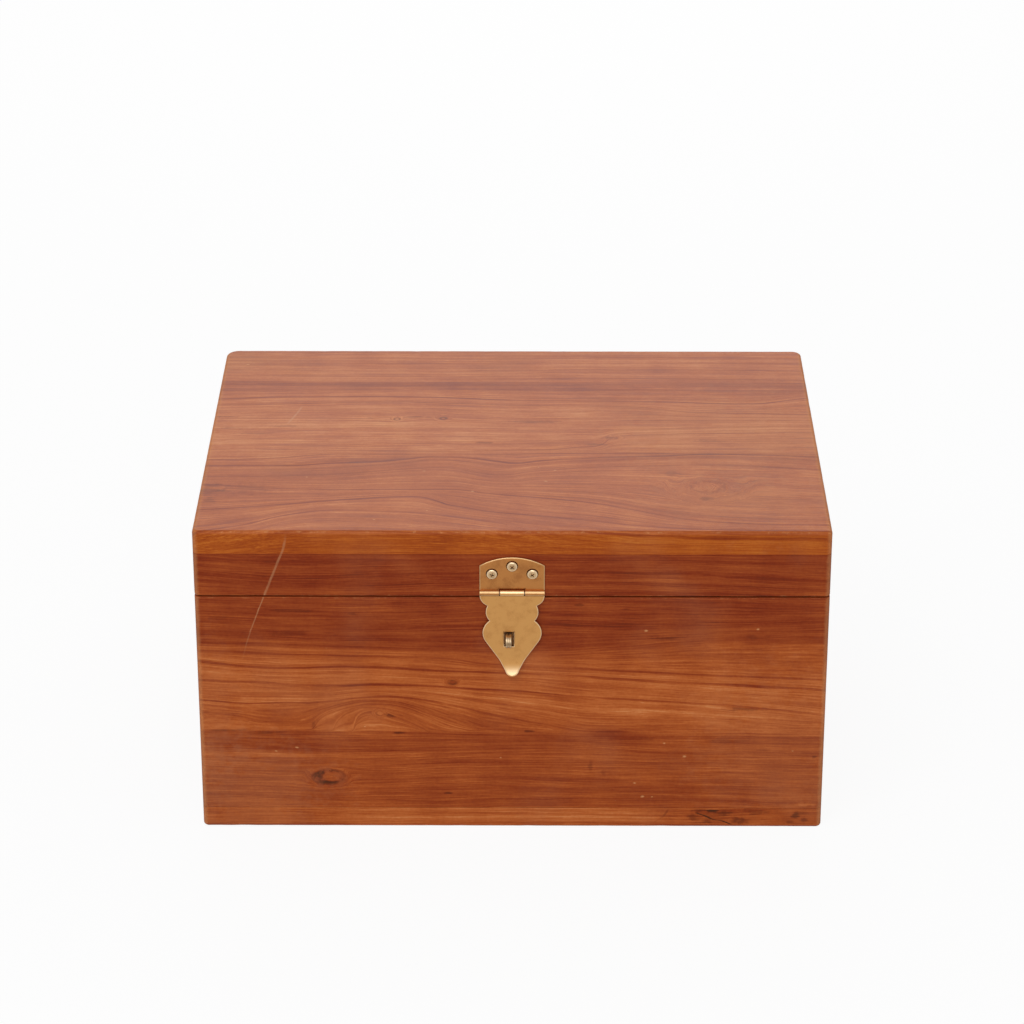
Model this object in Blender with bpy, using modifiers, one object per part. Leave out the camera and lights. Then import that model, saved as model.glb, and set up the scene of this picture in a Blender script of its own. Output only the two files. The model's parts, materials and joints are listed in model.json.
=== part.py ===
"""Teak jewellery box with a hinged lid, closed by a brass hasp over a staple.

Sizes are in metres. X runs left to right, Y from front to back and Z up.
The origin is the middle of the underside.
"""
import math

import bmesh
import bpy
from mathutils import Matrix, Vector

# Boards
BOX_WIDTH = 0.330
BOX_DEPTH = 0.245
WALL = 0.012
BOTTOM_THICKNESS = 0.0116
BASE_WALL_HEIGHT = 0.125
LID_RAIL_HEIGHT = 0.0238
TOP_THICKNESS = 0.013
PARTING_GAP = 0.0008            # saw cut between lid and base
CORNER_REBATE = 0.004           # depth to which a side board's end is let into front and back
EDGE_ROUND = 0.002
RIM_ARRIS = 0.0005
GLUE_LINE = 0.0001

# Rear butt hinges
HINGE_LENGTH = 0.038
HINGE_END_DISTANCE = 0.051      # from the box's end to the hinge
HINGE_AXIS_DEPTH = 0.003        # from the back face to the axis
HINGE_LEAF_WIDTH = 0.0075       # from the axis to the leaf's far edge
HINGE_LEAF_THICKNESS = 0.0012
HINGE_BARREL_RADIUS = 0.0022
HINGE_PIN_RADIUS = 0.0011
HINGE_KNUCKLES = 5
HINGE_SCREW_SPACING = 0.023
LID_STOP_ANGLE = 102.0          # degrees at which the two bevelled back edges would meet

# Hasp, hung from its barrel on the lid
HASP_WIDTH = 0.0338
HASP_AXIS_RISE = 0.003          # barrel axis above the middle of the parting gap
HASP_SHEET = 0.0009
HASP_BARREL_RADIUS = 0.0015
HASP_PIN_RADIUS = 0.00075
HASP_CENTRE_KNUCKLE = 0.0125
HASP_LEAF_SHOULDER = 0.0153     # from the axis up to the straight sides' end
HASP_LEAF_ARCH = 0.0047         # rise of the arched top above the shoulders
HASP_SIDE_SCREW_SPREAD = 0.0105
HASP_SIDE_SCREW_RISE = 0.0103
HASP_CENTRE_SCREW_RISE = 0.0147
FLAP_STANDOFF = 0.0012          # gap between the wood and the flap's back

# Flap outline, downwards from the barrel axis
FLAP_EAR_DROP = 0.0073
FLAP_EAR_BELLY = 0.0155
FLAP_EAR_BELLY_DROP = 0.0053
FLAP_UPPER_CUSP = 0.0128
FLAP_SMALL_LOBE_HEIGHT = 0.0087
FLAP_SMALL_LOBE = 0.0137
FLAP_LOWER_CUSP = 0.0118
FLAP_LARGE_LOBE_HEIGHT = 0.0121
FLAP_LARGE_LOBE_DROP = 0.0075   # from the lower cusp to the lobe's widest place
FLAP_LARGE_LOBE = 0.0154
FLAP_FLANK_TOP = 0.01385
FLAP_FLANK_HEIGHT = 0.0106
FLAP_FLANK_FOOT = 0.0061
FLAP_NECK_HEIGHT = 0.0049
FLAP_NECK_BOW = 0.00025
FLAP_TIP_RADIUS = 0.0038
FLAP_CURL_LENGTH = 0.010        # turned-out finger tip
FLAP_CURL_RISE = 0.0026
SLOT_WIDTH = 0.005
SLOT_HEIGHT = 0.0084
SLOT_DROP = 0.0267
SLOT_SHIFT = -0.0014            # the slot sits a little left of the middle

# Staple on the base
STAPLE_SHIFT = -0.0004          # from the slot's middle to the staple's
STAPLE_STRIP_WIDTH = 0.003
STAPLE_STRIP_THICKNESS = 0.0012
STAPLE_PLAY = 0.00075           # between the staple and the slot, above and below
STAPLE_PROUD = 0.006            # from the closed flap's face to the staple's crown
STAPLE_LEG_DEPTH = 0.008
STAPLE_PLATE_LENGTH = 0.021
STAPLE_PLATE_HEIGHT = 0.0096
STAPLE_PLATE_THICKNESS = 0.0008
STAPLE_SCREW_SPREAD = 0.0069

# Countersunk cross-recess screws
HASP_SCREW_HEAD = 0.0027
HASP_SCREW_CROWN = 0.0007
HASP_SCREW_SHANK = 0.0012
HASP_SCREW_LENGTH = 0.010
HINGE_SCREW_HEAD = 0.0019
HINGE_SCREW_SHANK = 0.001
HINGE_SCREW_LENGTH = 0.009
STAPLE_SCREW_HEAD = 0.0016
STAPLE_SCREW_SHANK = 0.0009
STAPLE_SCREW_LENGTH = 0.008
RECESS_REACH = 0.62             # cross recess in shares of the head's radius
RECESS_WIDTH = 0.3
RECESS_DEPTH = 0.55

# Clearances
SEAT_GAP = 0.0001               # fittings lying on wood
FIT_GAP = 0.0002                # metal let into wood, screws in their holes
KNUCKLE_GAP = 0.0003            # between neighbouring knuckles and round them
PIN_PLAY = 0.00006
PIN_CHAMFER = 0.0003
HEAD_SINK = 0.00005             # flat screw heads below the plate's face

# Mesh resolution
ROUND_SEGMENTS = 3
BARREL_SIDES = 24
SCREW_SIDES = 16
ARC_STEPS = 8
CURL_CUTS = 5
DOME_STEPS = 4
WELD_DISTANCE = 1e-6
SMOOTH_ANGLE = math.radians(35)
CUT_OVERRUN = 0.002             # how far a cutter runs past what it cuts

# Levels and planes that follow
FRONT = -BOX_DEPTH / 2
BACK = BOX_DEPTH / 2
END = BOX_WIDTH / 2
BASE_WALL_FOOT = BOTTOM_THICKNESS + GLUE_LINE
BASE_RIM = BASE_WALL_FOOT + BASE_WALL_HEIGHT
LID_RIM = BASE_RIM + PARTING_GAP
PARTING = BASE_RIM + PARTING_GAP / 2
LID_RAIL_TOP = LID_RIM + LID_RAIL_HEIGHT
TOP_FOOT = LID_RAIL_TOP + GLUE_LINE
BOX_TOP = TOP_FOOT + TOP_THICKNESS
LID_AXIS = Vector((0, BACK - HINGE_AXIS_DEPTH, PARTING))
HASP_AXIS = Vector((0, FRONT - SEAT_GAP - HASP_BARREL_RADIUS, PARTING + HASP_AXIS_RISE))
HINGE_CENTRE = END - HINGE_END_DISTANCE - HINGE_LENGTH / 2
FLAP_FACE = FLAP_STANDOFF + HASP_SHEET
STAPLE_RADIUS = SLOT_HEIGHT / 2 - STAPLE_PLAY
SLOT_CENTRE = Vector((SLOT_SHIFT, FRONT, HASP_AXIS.z - SLOT_DROP))
STAPLE_CENTRE = SLOT_CENTRE + Vector((STAPLE_SHIFT, 0, 0))
FACING_FRONT = Matrix.Rotation(math.radians(90), 4, "X")
ALONG_X = Matrix.Rotation(math.radians(90), 4, "Y")
FACING_DOWN = Matrix.Rotation(math.radians(180), 4, "X")


def clear_scene():
    for obj in list(bpy.data.objects):
        bpy.data.objects.remove(obj, do_unlink=True)


def new_collection(name):
    collection = bpy.data.collections.new(name)
    bpy.context.scene.collection.children.link(collection)
    return collection


def new_material(name, colour, roughness, metallic):
    material = bpy.data.materials.new(name)
    material.use_nodes = True
    shader = material.node_tree.nodes["Principled BSDF"]
    shader.inputs["Base Color"].default_value = (*colour, 1.0)
    shader.inputs["Roughness"].default_value = roughness
    shader.inputs["Metallic"].default_value = metallic
    return material


clear_scene()
PARTS = new_collection("jewellery_box")
CUTTERS = new_collection("cutters")
TEAK = new_material("teak", (0.30, 0.085, 0.030), 0.45, 0.0)
BRASS = new_material("brass", (0.56, 0.33, 0.12), 0.32, 1.0)
PLATED_STEEL = new_material("plated_steel", (0.62, 0.50, 0.32), 0.30, 1.0)


def new_pivot(name, location, parent=None):
    pivot = bpy.data.objects.new(name, None)
    PARTS.objects.link(pivot)
    pivot.location = location
    if parent:
        pivot.parent = parent
        pivot.matrix_parent_inverse = Matrix.Translation(-parent.matrix_world.translation)
    bpy.context.view_layer.update()
    return pivot


BASE_PIVOT = new_pivot("base_pivot", (0, 0, 0))
LID_PIVOT = new_pivot("lid_pivot", LID_AXIS, BASE_PIVOT)
FLAP_PIVOT = new_pivot("flap_pivot", HASP_AXIS, LID_PIVOT)


# Meshes

def mesh_from(name, bm):
    mesh = bpy.data.meshes.new(name)
    bm.to_mesh(mesh)
    bm.free()
    return mesh


def box_mesh(name, low, high):
    size = Vector(high) - Vector(low)
    middle = Matrix.Translation((Vector(high) + Vector(low)) / 2)
    bm = bmesh.new()
    bmesh.ops.create_cube(bm, size=1.0, matrix=middle @ Matrix.Diagonal((*size, 1.0)))
    return mesh_from(name, bm)


def rod_mesh(name, radius, length):
    bm = bmesh.new()
    bmesh.ops.create_cone(bm, cap_ends=True, segments=BARREL_SIDES, radius1=radius, radius2=radius,
                          depth=length, matrix=ALONG_X)
    return mesh_from(name, bm)


def evaluated_mesh(obj):
    """The object's mesh with its modifiers applied and its doubles welded; the object is removed."""
    evaluated = obj.evaluated_get(bpy.context.evaluated_depsgraph_get())
    mesh = bpy.data.meshes.new_from_object(evaluated)
    mesh.name = obj.name
    bpy.data.objects.remove(obj, do_unlink=True)
    bm = bmesh.new()
    bm.from_mesh(mesh)
    bmesh.ops.remove_doubles(bm, verts=bm.verts, dist=WELD_DISTANCE)
    bm.to_mesh(mesh)
    bm.free()
    return mesh


def turned_mesh(name, profile, sides):
    """A solid of revolution about Z, from (radius, height) points that run from top to bottom."""
    mesh = bpy.data.meshes.new(name)
    points = [(radius, 0.0, height) for radius, height in profile]
    mesh.from_pydata(points, [(i, i + 1) for i in range(len(points) - 1)], [])
    obj = bpy.data.objects.new(name, mesh)
    PARTS.objects.link(obj)
    screw = obj.modifiers.new("turn", "SCREW")
    screw.steps = sides
    screw.render_steps = sides
    screw.use_merge_vertices = True
    screw.merge_threshold = WELD_DISTANCE
    return evaluated_mesh(obj)


def outline_mesh(name, outline, thickness):
    """A flat plate in the XY plane, its thickness centred on Z."""
    curve = bpy.data.curves.new(name, "CURVE")
    curve.dimensions = "2D"
    curve.fill_mode = "BOTH"
    curve.extrude = thickness / 2
    spline = curve.splines.new("POLY")
    spline.points.add(len(outline) - 1)
    for point, (x, y) in zip(spline.points, outline):
        point.co = (x, y, 0.0, 1.0)
    spline.use_cyclic_u = True
    obj = bpy.data.objects.new(name, curve)
    PARTS.objects.link(obj)
    return evaluated_mesh(obj)


def arc_through(start, middle, end):
    """Points on the circle through three points, from start up to, but without, the end."""
    (ax, ay), (bx, by), (cx, cy) = start, middle, end
    a2, b2, c2 = ax * ax + ay * ay, bx * bx + by * by, cx * cx + cy * cy
    scale = 2 * (ax * (by - cy) + bx * (cy - ay) + cx * (ay - by))
    x = (a2 * (by - cy) + b2 * (cy - ay) + c2 * (ay - by)) / scale
    y = (a2 * (cx - bx) + b2 * (ax - cx) + c2 * (bx - ax)) / scale
    radius = math.hypot(ax - x, ay - y)
    first = math.atan2(ay - y, ax - x)
    to_middle = (math.atan2(by - y, bx - x) - first) % math.tau
    sweep = (math.atan2(cy - y, cx - x) - first) % math.tau
    if to_middle > sweep:
        sweep -= math.tau
    angles = [first + sweep * i / ARC_STEPS for i in range(ARC_STEPS)]
    return [(x + radius * math.cos(a), y + radius * math.sin(a)) for a in angles]


# Objects

def place(name, mesh, material, pivot, location=(0, 0, 0), turn=None):
    obj = bpy.data.objects.new(name, mesh)
    PARTS.objects.link(obj)
    obj.parent = pivot
    obj.matrix_parent_inverse = Matrix.Translation(-pivot.matrix_world.translation)
    obj.location = location
    if turn:
        obj.rotation_euler = turn.to_euler()
    if not mesh.materials:
        mesh.materials.append(material)
    return obj


def cutter(name, mesh, location=(0, 0, 0), turn=None):
    obj = bpy.data.objects.new(name, mesh)
    CUTTERS.objects.link(obj)
    obj.location = location
    if turn:
        obj.rotation_euler = turn.to_euler()
    obj.hide_render = True
    obj.display_type = "WIRE"
    return obj


def combine(target, tool, operation):
    modifier = target.modifiers.new(tool.name, "BOOLEAN")
    modifier.operation = operation
    modifier.object = tool


def cut(target, tool):
    combine(target, tool, "DIFFERENCE")


def shade_round(obj):
    obj.data.shade_smooth()
    obj.data.set_sharp_from_angle(angle=SMOOTH_ANGLE)


def board(name, low, high, pivot, rounded):
    """A board between two corners. Rounded maps an edge, named by the signs of its place, to a radius."""
    middle = (Vector(low) + Vector(high)) / 2
    mesh = box_mesh(name, Vector(low) - middle, Vector(high) - middle)
    bm = bmesh.new()
    bm.from_mesh(mesh)
    weights = bm.edges.layers.float.new("bevel_weight_edge")
    for edge in bm.edges:
        at = edge.verts[0].co + edge.verts[1].co
        signs = tuple(0 if abs(c) < WELD_DISTANCE else int(math.copysign(1, c)) for c in at)
        edge[weights] = rounded.get(signs, 0.0) / EDGE_ROUND
    bm.to_mesh(mesh)
    bm.free()
    obj = place(name, mesh, TEAK, pivot, middle)
    bevel = obj.modifiers.new("rounding", "BEVEL")
    bevel.limit_method = "WEIGHT"
    bevel.width = EDGE_ROUND
    bevel.segments = ROUND_SEGMENTS
    obj.modifiers.new("flat_faces", "TRIANGULATE")
    return obj


# Screws

def screw_mesh(name, head, crown, shank, length):
    """A countersunk screw along Z whose rim is at height 0, with a cross recess in its head."""
    shares = [i / DOME_STEPS for i in range(DOME_STEPS)]
    dome = [(head * share, crown * (1 - share ** 2)) for share in shares]
    profile = dome + [(head, 0.0), (shank, shank - head), (shank, 2 * shank - length), (0.0, -length)]
    obj = place(name, turned_mesh(name, profile, SCREW_SIDES), PLATED_STEEL, BASE_PIVOT)
    reach, width, depth = head * RECESS_REACH, head * RECESS_WIDTH / 2, head * RECESS_DEPTH
    floor, above = crown - depth, crown + CUT_OVERRUN
    arms = [cutter(name + "_arm_x", box_mesh("arm", (-reach, -width, floor), (reach, width, above))),
            cutter(name + "_arm_y", box_mesh("arm", (-width, -reach, floor), (width, reach, above)))]
    for arm in arms:
        cut(obj, arm)
    mesh = evaluated_mesh(obj)
    for arm in arms:
        bpy.data.objects.remove(arm, do_unlink=True)
    return mesh


def screw_hole_mesh(name, head, shank, length):
    """The hole for a screw, with a fit gap all round and a mouth that runs past the plate's face."""
    corner = (math.sqrt(2) - 1) * FIT_GAP
    profile = [(0.0, CUT_OVERRUN), (head + FIT_GAP, CUT_OVERRUN), (head + FIT_GAP, -corner),
               (shank + FIT_GAP, shank - head - corner), (shank + FIT_GAP, -length - FIT_GAP),
               (0.0, -length - FIT_GAP)]
    return turned_mesh(name, profile, SCREW_SIDES)


def drive(name, mesh, hole, through, pivot, location, turn=None):
    """Put a screw in place and cut its hole through the pieces that it goes into."""
    place(name, mesh, PLATED_STEEL, pivot, location, turn)
    hole_cutter = cutter(name + "_hole", hole, location, turn)
    for piece in through:
        cut(piece, hole_cutter)


# Boards of the base and the lid

def make_walls(prefix, suffix, foot, head, rim_side, pivot):
    """Four walls: front and back run the full width and are rebated for the ends of the sides."""
    walls = {}
    for side, outer in (("front", -1), ("back", 1)):
        inner_face = outer * (BACK - WALL)
        outer_face = outer * BACK
        rounded = {(x, outer, 0): EDGE_ROUND for x in (-1, 1)}
        rounded.update({(x, 0, rim_side): RIM_ARRIS for x in (-1, 1)})
        rounded.update({(0, y, rim_side): RIM_ARRIS for y in (-1, 1)})
        wall = board(f"{prefix}_{side}_{suffix}", (-END, min(inner_face, outer_face), foot),
                     (END, max(inner_face, outer_face), head), pivot, rounded)
        rebate_face = inner_face + outer * (CORNER_REBATE + GLUE_LINE)
        past_inner = inner_face - outer * CUT_OVERRUN
        for end_name, end in (("left", -1), ("right", 1)):
            shoulder = end * (END - WALL - GLUE_LINE)
            past_end = end * (END + CUT_OVERRUN)
            low = (min(shoulder, past_end), min(rebate_face, past_inner), foot - CUT_OVERRUN)
            high = (max(shoulder, past_end), max(rebate_face, past_inner), head + CUT_OVERRUN)
            name = f"{prefix}_{side}_{end_name}_rebate"
            cut(wall, cutter(name, box_mesh(name, low, high)))
        walls[side] = wall
    reach = BACK - WALL + CORNER_REBATE
    for end_name, end in (("left", -1), ("right", 1)):
        inner, outer = end * (END - WALL), end * END
        rounded = {(x, 0, rim_side): RIM_ARRIS for x in (-1, 1)}
        walls[end_name] = board(f"{prefix}_{end_name}_{suffix}", (min(inner, outer), -reach, foot),
                                (max(inner, outer), reach, head), pivot, rounded)
    return walls


def make_panel(name, foot, head, outer_side, pivot):
    """A full-size panel with rounded corners and a rounded outer arris."""
    rounded = {(x, y, 0): EDGE_ROUND for x in (-1, 1) for y in (-1, 1)}
    rounded.update({(x, 0, outer_side): EDGE_ROUND for x in (-1, 1)})
    rounded.update({(0, y, outer_side): EDGE_ROUND for y in (-1, 1)})
    return board(name, (-END, FRONT, foot), (END, BACK, head), pivot, rounded)


def bevel_back_edge(wall, name, side):
    """Slope a back board's edge from the lid's axis outwards, so that the open lid comes to rest."""
    length = END + CUT_OVERRUN
    slope_length = HINGE_AXIS_DEPTH / math.cos(math.radians(LID_STOP_ANGLE / 2))
    reach = slope_length + CUT_OVERRUN
    low, high = sorted((0.0, -side * reach))
    slope = Matrix.Rotation(math.radians(side * LID_STOP_ANGLE / 2), 4, "X")
    wedge = box_mesh(name, (-length, 0.0, low), (length, reach, high))
    cut(wall, cutter(name, wedge, LID_AXIS, slope))


# Rear hinges

def hinge_leaf(name, centre, side, pivot):
    """One leaf: its plate is flush with a rim and its knuckles share the axis. Side is +1 on the lid."""
    face, back = side * PARTING_GAP / 2, side * (PARTING_GAP / 2 + HINGE_LEAF_THICKNESS)
    half = HINGE_LENGTH / 2
    plate = box_mesh(name, (-half, -HINGE_LEAF_WIDTH, min(face, back)), (half, 0.0, max(face, back)))
    at = LID_AXIS + Vector((centre, 0, 0))
    leaf = place(name, plate, BRASS, pivot, at)
    pitch = HINGE_LENGTH / HINGE_KNUCKLES
    clear = HINGE_BARREL_RADIUS + KNUCKLE_GAP
    own = []
    for i in range(HINGE_KNUCKLES):
        middle = -half + pitch * (i + 0.5)
        if (i % 2 == 1) == (side > 0):
            own.append(middle)
        else:
            reach = pitch / 2 + KNUCKLE_GAP / 2
            notch = box_mesh(name + "_notch", (middle - reach, -clear, -clear),
                             (middle + reach, clear, clear))
            cut(leaf, cutter(f"{name}_notch_{i}", notch, at))
    for i, middle in enumerate(own):
        knuckle = rod_mesh(name + "_knuckle", HINGE_BARREL_RADIUS, pitch - KNUCKLE_GAP)
        combine(leaf, cutter(f"{name}_knuckle_{i}", knuckle, at + Vector((middle, 0, 0))), "UNION")
    bore = rod_mesh(name + "_bore", HINGE_PIN_RADIUS + PIN_PLAY, HINGE_LENGTH + CUT_OVERRUN)
    cut(leaf, cutter(name + "_bore", bore, at))
    return leaf


def let_in_hinge(wall, name, centre, side):
    """Cut the gain for a leaf and the hollow for the barrel into a back board's rim."""
    half = HINGE_LENGTH / 2 + FIT_GAP
    floor = side * (PARTING_GAP / 2 + HINGE_LEAF_THICKNESS + FIT_GAP)
    low, high = sorted((floor, -side * CUT_OVERRUN))
    at = LID_AXIS + Vector((centre, 0, 0))
    gain = box_mesh(name + "_gain", (-half, -HINGE_LEAF_WIDTH - FIT_GAP, low), (half, 0.0, high))
    cut(wall, cutter(name + "_gain", gain, at))
    hollow = rod_mesh(name + "_hollow", HINGE_BARREL_RADIUS + KNUCKLE_GAP, 2 * half)
    cut(wall, cutter(name + "_hollow", hollow, at))


def pin_mesh(name, radius, length):
    """A pin along Z with chamfered ends."""
    half = length / 2
    profile = [(0.0, half), (radius - PIN_CHAMFER, half), (radius, half - PIN_CHAMFER),
               (radius, PIN_CHAMFER - half), (radius - PIN_CHAMFER, -half), (0.0, -half)]
    return turned_mesh(name, profile, BARREL_SIDES)


def make_hinges(base_back, lid_back):
    screw = screw_mesh("hinge_screw", HINGE_SCREW_HEAD, 0.0, HINGE_SCREW_SHANK, HINGE_SCREW_LENGTH)
    hole = screw_hole_mesh("hinge_screw_hole", HINGE_SCREW_HEAD, HINGE_SCREW_SHANK, HINGE_SCREW_LENGTH)
    pin = pin_mesh("hinge_pin", HINGE_PIN_RADIUS, HINGE_LENGTH)
    row = -(HINGE_BARREL_RADIUS + KNUCKLE_GAP + HINGE_LEAF_WIDTH) / 2
    for end_name, end in (("left", -1), ("right", 1)):
        centre = end * HINGE_CENTRE
        at = LID_AXIS + Vector((centre, 0, 0))
        pin_obj = place(f"hinge_{end_name}_pin", pin, PLATED_STEEL, BASE_PIVOT, at, ALONG_X)
        shade_round(pin_obj)
        for level, side, wall, pivot, turn in (("lower", -1, base_back, BASE_PIVOT, None),
                                               ("upper", 1, lid_back, LID_PIVOT, FACING_DOWN)):
            name = f"hinge_{end_name}_{level}"
            leaf = hinge_leaf(name + "_leaf", centre, side, pivot)
            let_in_hinge(wall, name, centre, side)
            head_level = side * (PARTING_GAP / 2 + HEAD_SINK)
            for place_name, offset in (("a", -1), ("b", 1)):
                spot = at + Vector((offset * HINGE_SCREW_SPACING / 2, row, head_level))
                drive(f"{name}_screw_{place_name}", screw, hole, (leaf, wall), pivot, spot, turn)


# Hasp

def make_hasp_leaf(lid_front):
    """The fixed leaf with its arched top, two outer knuckles and three screws."""
    half = HASP_WIDTH / 2
    shoulder, crown = (half, HASP_LEAF_SHOULDER), (0.0, HASP_LEAF_SHOULDER + HASP_LEAF_ARCH)
    far = (-half, HASP_LEAF_SHOULDER)
    outline = [(-half, 0.0), (half, 0.0)] + arc_through(shoulder, crown, far) + [far]
    plate_at = Vector((0, FRONT - SEAT_GAP - HASP_SHEET / 2, HASP_AXIS.z))
    leaf = place("hasp_leaf", outline_mesh("hasp_leaf", outline, HASP_SHEET), BRASS, LID_PIVOT,
                 plate_at, FACING_FRONT)
    clear = HASP_BARREL_RADIUS + KNUCKLE_GAP
    gap_half = HASP_CENTRE_KNUCKLE / 2 + KNUCKLE_GAP
    notch = box_mesh("hasp_notch", (-gap_half, -clear, -clear), (gap_half, clear, clear))
    cut(leaf, cutter("hasp_notch", notch, HASP_AXIS))
    knuckle_length = half - gap_half
    knuckle = rod_mesh("hasp_outer_knuckle", HASP_BARREL_RADIUS, knuckle_length)
    for end_name, end in (("left", -1), ("right", 1)):
        spot = HASP_AXIS + Vector((end * (gap_half + knuckle_length / 2), 0, 0))
        combine(leaf, cutter(f"hasp_{end_name}_knuckle", knuckle, spot), "UNION")
    bore = rod_mesh("hasp_leaf_bore", HASP_PIN_RADIUS + PIN_PLAY, HASP_WIDTH + CUT_OVERRUN)
    cut(leaf, cutter("hasp_leaf_bore", bore, HASP_AXIS))
    screw = screw_mesh("hasp_screw", HASP_SCREW_HEAD, HASP_SCREW_CROWN, HASP_SCREW_SHANK, HASP_SCREW_LENGTH)
    hole = screw_hole_mesh("hasp_screw_hole", HASP_SCREW_HEAD, HASP_SCREW_SHANK, HASP_SCREW_LENGTH)
    face = FRONT - SEAT_GAP - HASP_SHEET
    for spot_name, x, rise in (("left", -HASP_SIDE_SCREW_SPREAD, HASP_SIDE_SCREW_RISE),
                               ("centre", 0.0, HASP_CENTRE_SCREW_RISE),
                               ("right", HASP_SIDE_SCREW_SPREAD, HASP_SIDE_SCREW_RISE)):
        drive(f"hasp_screw_{spot_name}", screw, hole, (leaf, lid_front), LID_PIVOT,
              (x, face, HASP_AXIS.z + rise), FACING_FRONT)
    pin = pin_mesh("hasp_pin", HASP_PIN_RADIUS, HASP_WIDTH)
    shade_round(place("hasp_pin", pin, PLATED_STEEL, LID_PIVOT, HASP_AXIS, ALONG_X))


def flap_outline():
    """The flap's scalloped outline, in half-widths and heights from the barrel axis."""
    top = -(HASP_BARREL_RADIUS + KNUCKLE_GAP)
    upper_cusp = -FLAP_EAR_DROP
    lower_cusp = upper_cusp - FLAP_SMALL_LOBE_HEIGHT
    flank_top = lower_cusp - FLAP_LARGE_LOBE_HEIGHT
    flank_foot = flank_top - FLAP_FLANK_HEIGHT
    neck = flank_foot - FLAP_NECK_HEIGHT
    ear = (FLAP_EAR_BELLY, -FLAP_EAR_BELLY_DROP)
    small_lobe = (FLAP_SMALL_LOBE, (upper_cusp + lower_cusp) / 2)
    large_lobe = (FLAP_LARGE_LOBE, lower_cusp - FLAP_LARGE_LOBE_DROP)
    neck_bow = ((FLAP_FLANK_FOOT + FLAP_TIP_RADIUS) / 2 - FLAP_NECK_BOW, (flank_foot + neck) / 2)
    corner, cusp, lower = (HASP_WIDTH / 2, top), (FLAP_UPPER_CUSP, upper_cusp), (FLAP_LOWER_CUSP, lower_cusp)
    flank, foot, tip = (FLAP_FLANK_TOP, flank_top), (FLAP_FLANK_FOOT, flank_foot), (FLAP_TIP_RADIUS, neck)
    right = (arc_through(corner, ear, cusp) + arc_through(cusp, small_lobe, lower)
             + arc_through(lower, large_lobe, flank) + [flank] + arc_through(foot, neck_bow, tip))
    end = arc_through(tip, (0.0, neck - FLAP_TIP_RADIUS), (-FLAP_TIP_RADIUS, neck))
    left = [(-x, z) for x, z in reversed(right)]
    return right + end + [(-FLAP_TIP_RADIUS, neck)] + left, neck - FLAP_TIP_RADIUS


def curl_tip(mesh, tip):
    """Turn the flap's tip outwards along a parabola, after cutting it into strips."""
    start = tip + FLAP_CURL_LENGTH
    bm = bmesh.new()
    bm.from_mesh(mesh)
    for i in range(CURL_CUTS):
        level = Vector((0, start - FLAP_CURL_LENGTH * i / CURL_CUTS, 0))
        geometry = bm.verts[:] + bm.edges[:] + bm.faces[:]
        bmesh.ops.bisect_plane(bm, geom=geometry, dist=WELD_DISTANCE, plane_co=level, plane_no=(0, 1, 0))
    for vert in bm.verts:
        if vert.co.y < start:
            vert.co.z += FLAP_CURL_RISE * ((start - vert.co.y) / FLAP_CURL_LENGTH) ** 2
    bm.to_mesh(mesh)
    bm.free()


def make_flap():
    """The swinging flap: a scalloped plate with a slot, a turned-out tip and the middle knuckle."""
    outline, tip = flap_outline()
    plate = outline_mesh("hasp_flap", outline, HASP_SHEET)
    curl_tip(plate, tip)
    from_axis = FLAP_STANDOFF + HASP_SHEET / 2 - SEAT_GAP - HASP_BARREL_RADIUS
    plate.transform(Matrix.Translation((0, 0, from_axis)))
    flap = place("hasp_flap", plate, BRASS, FLAP_PIVOT, HASP_AXIS, FACING_FRONT)
    half = HASP_CENTRE_KNUCKLE / 2
    back = FRONT - FLAP_STANDOFF
    tongue = box_mesh("flap_tongue", (-half, back - HASP_SHEET, HASP_AXIS.z - 2 * HASP_BARREL_RADIUS),
                      (half, back, HASP_AXIS.z))
    combine(flap, cutter("flap_tongue", tongue), "UNION")
    knuckle = rod_mesh("flap_knuckle", HASP_BARREL_RADIUS, HASP_CENTRE_KNUCKLE)
    combine(flap, cutter("flap_knuckle", knuckle, HASP_AXIS), "UNION")
    bore = rod_mesh("flap_bore", HASP_PIN_RADIUS + PIN_PLAY, HASP_WIDTH)
    cut(flap, cutter("flap_bore", bore, HASP_AXIS))
    slot = box_mesh("flap_slot", (-SLOT_WIDTH / 2, -FLAP_FACE - CUT_OVERRUN, -SLOT_HEIGHT / 2),
                    (SLOT_WIDTH / 2, 0.0, SLOT_HEIGHT / 2))
    cut(flap, cutter("flap_slot", slot, SLOT_CENTRE))


# Staple

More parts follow.
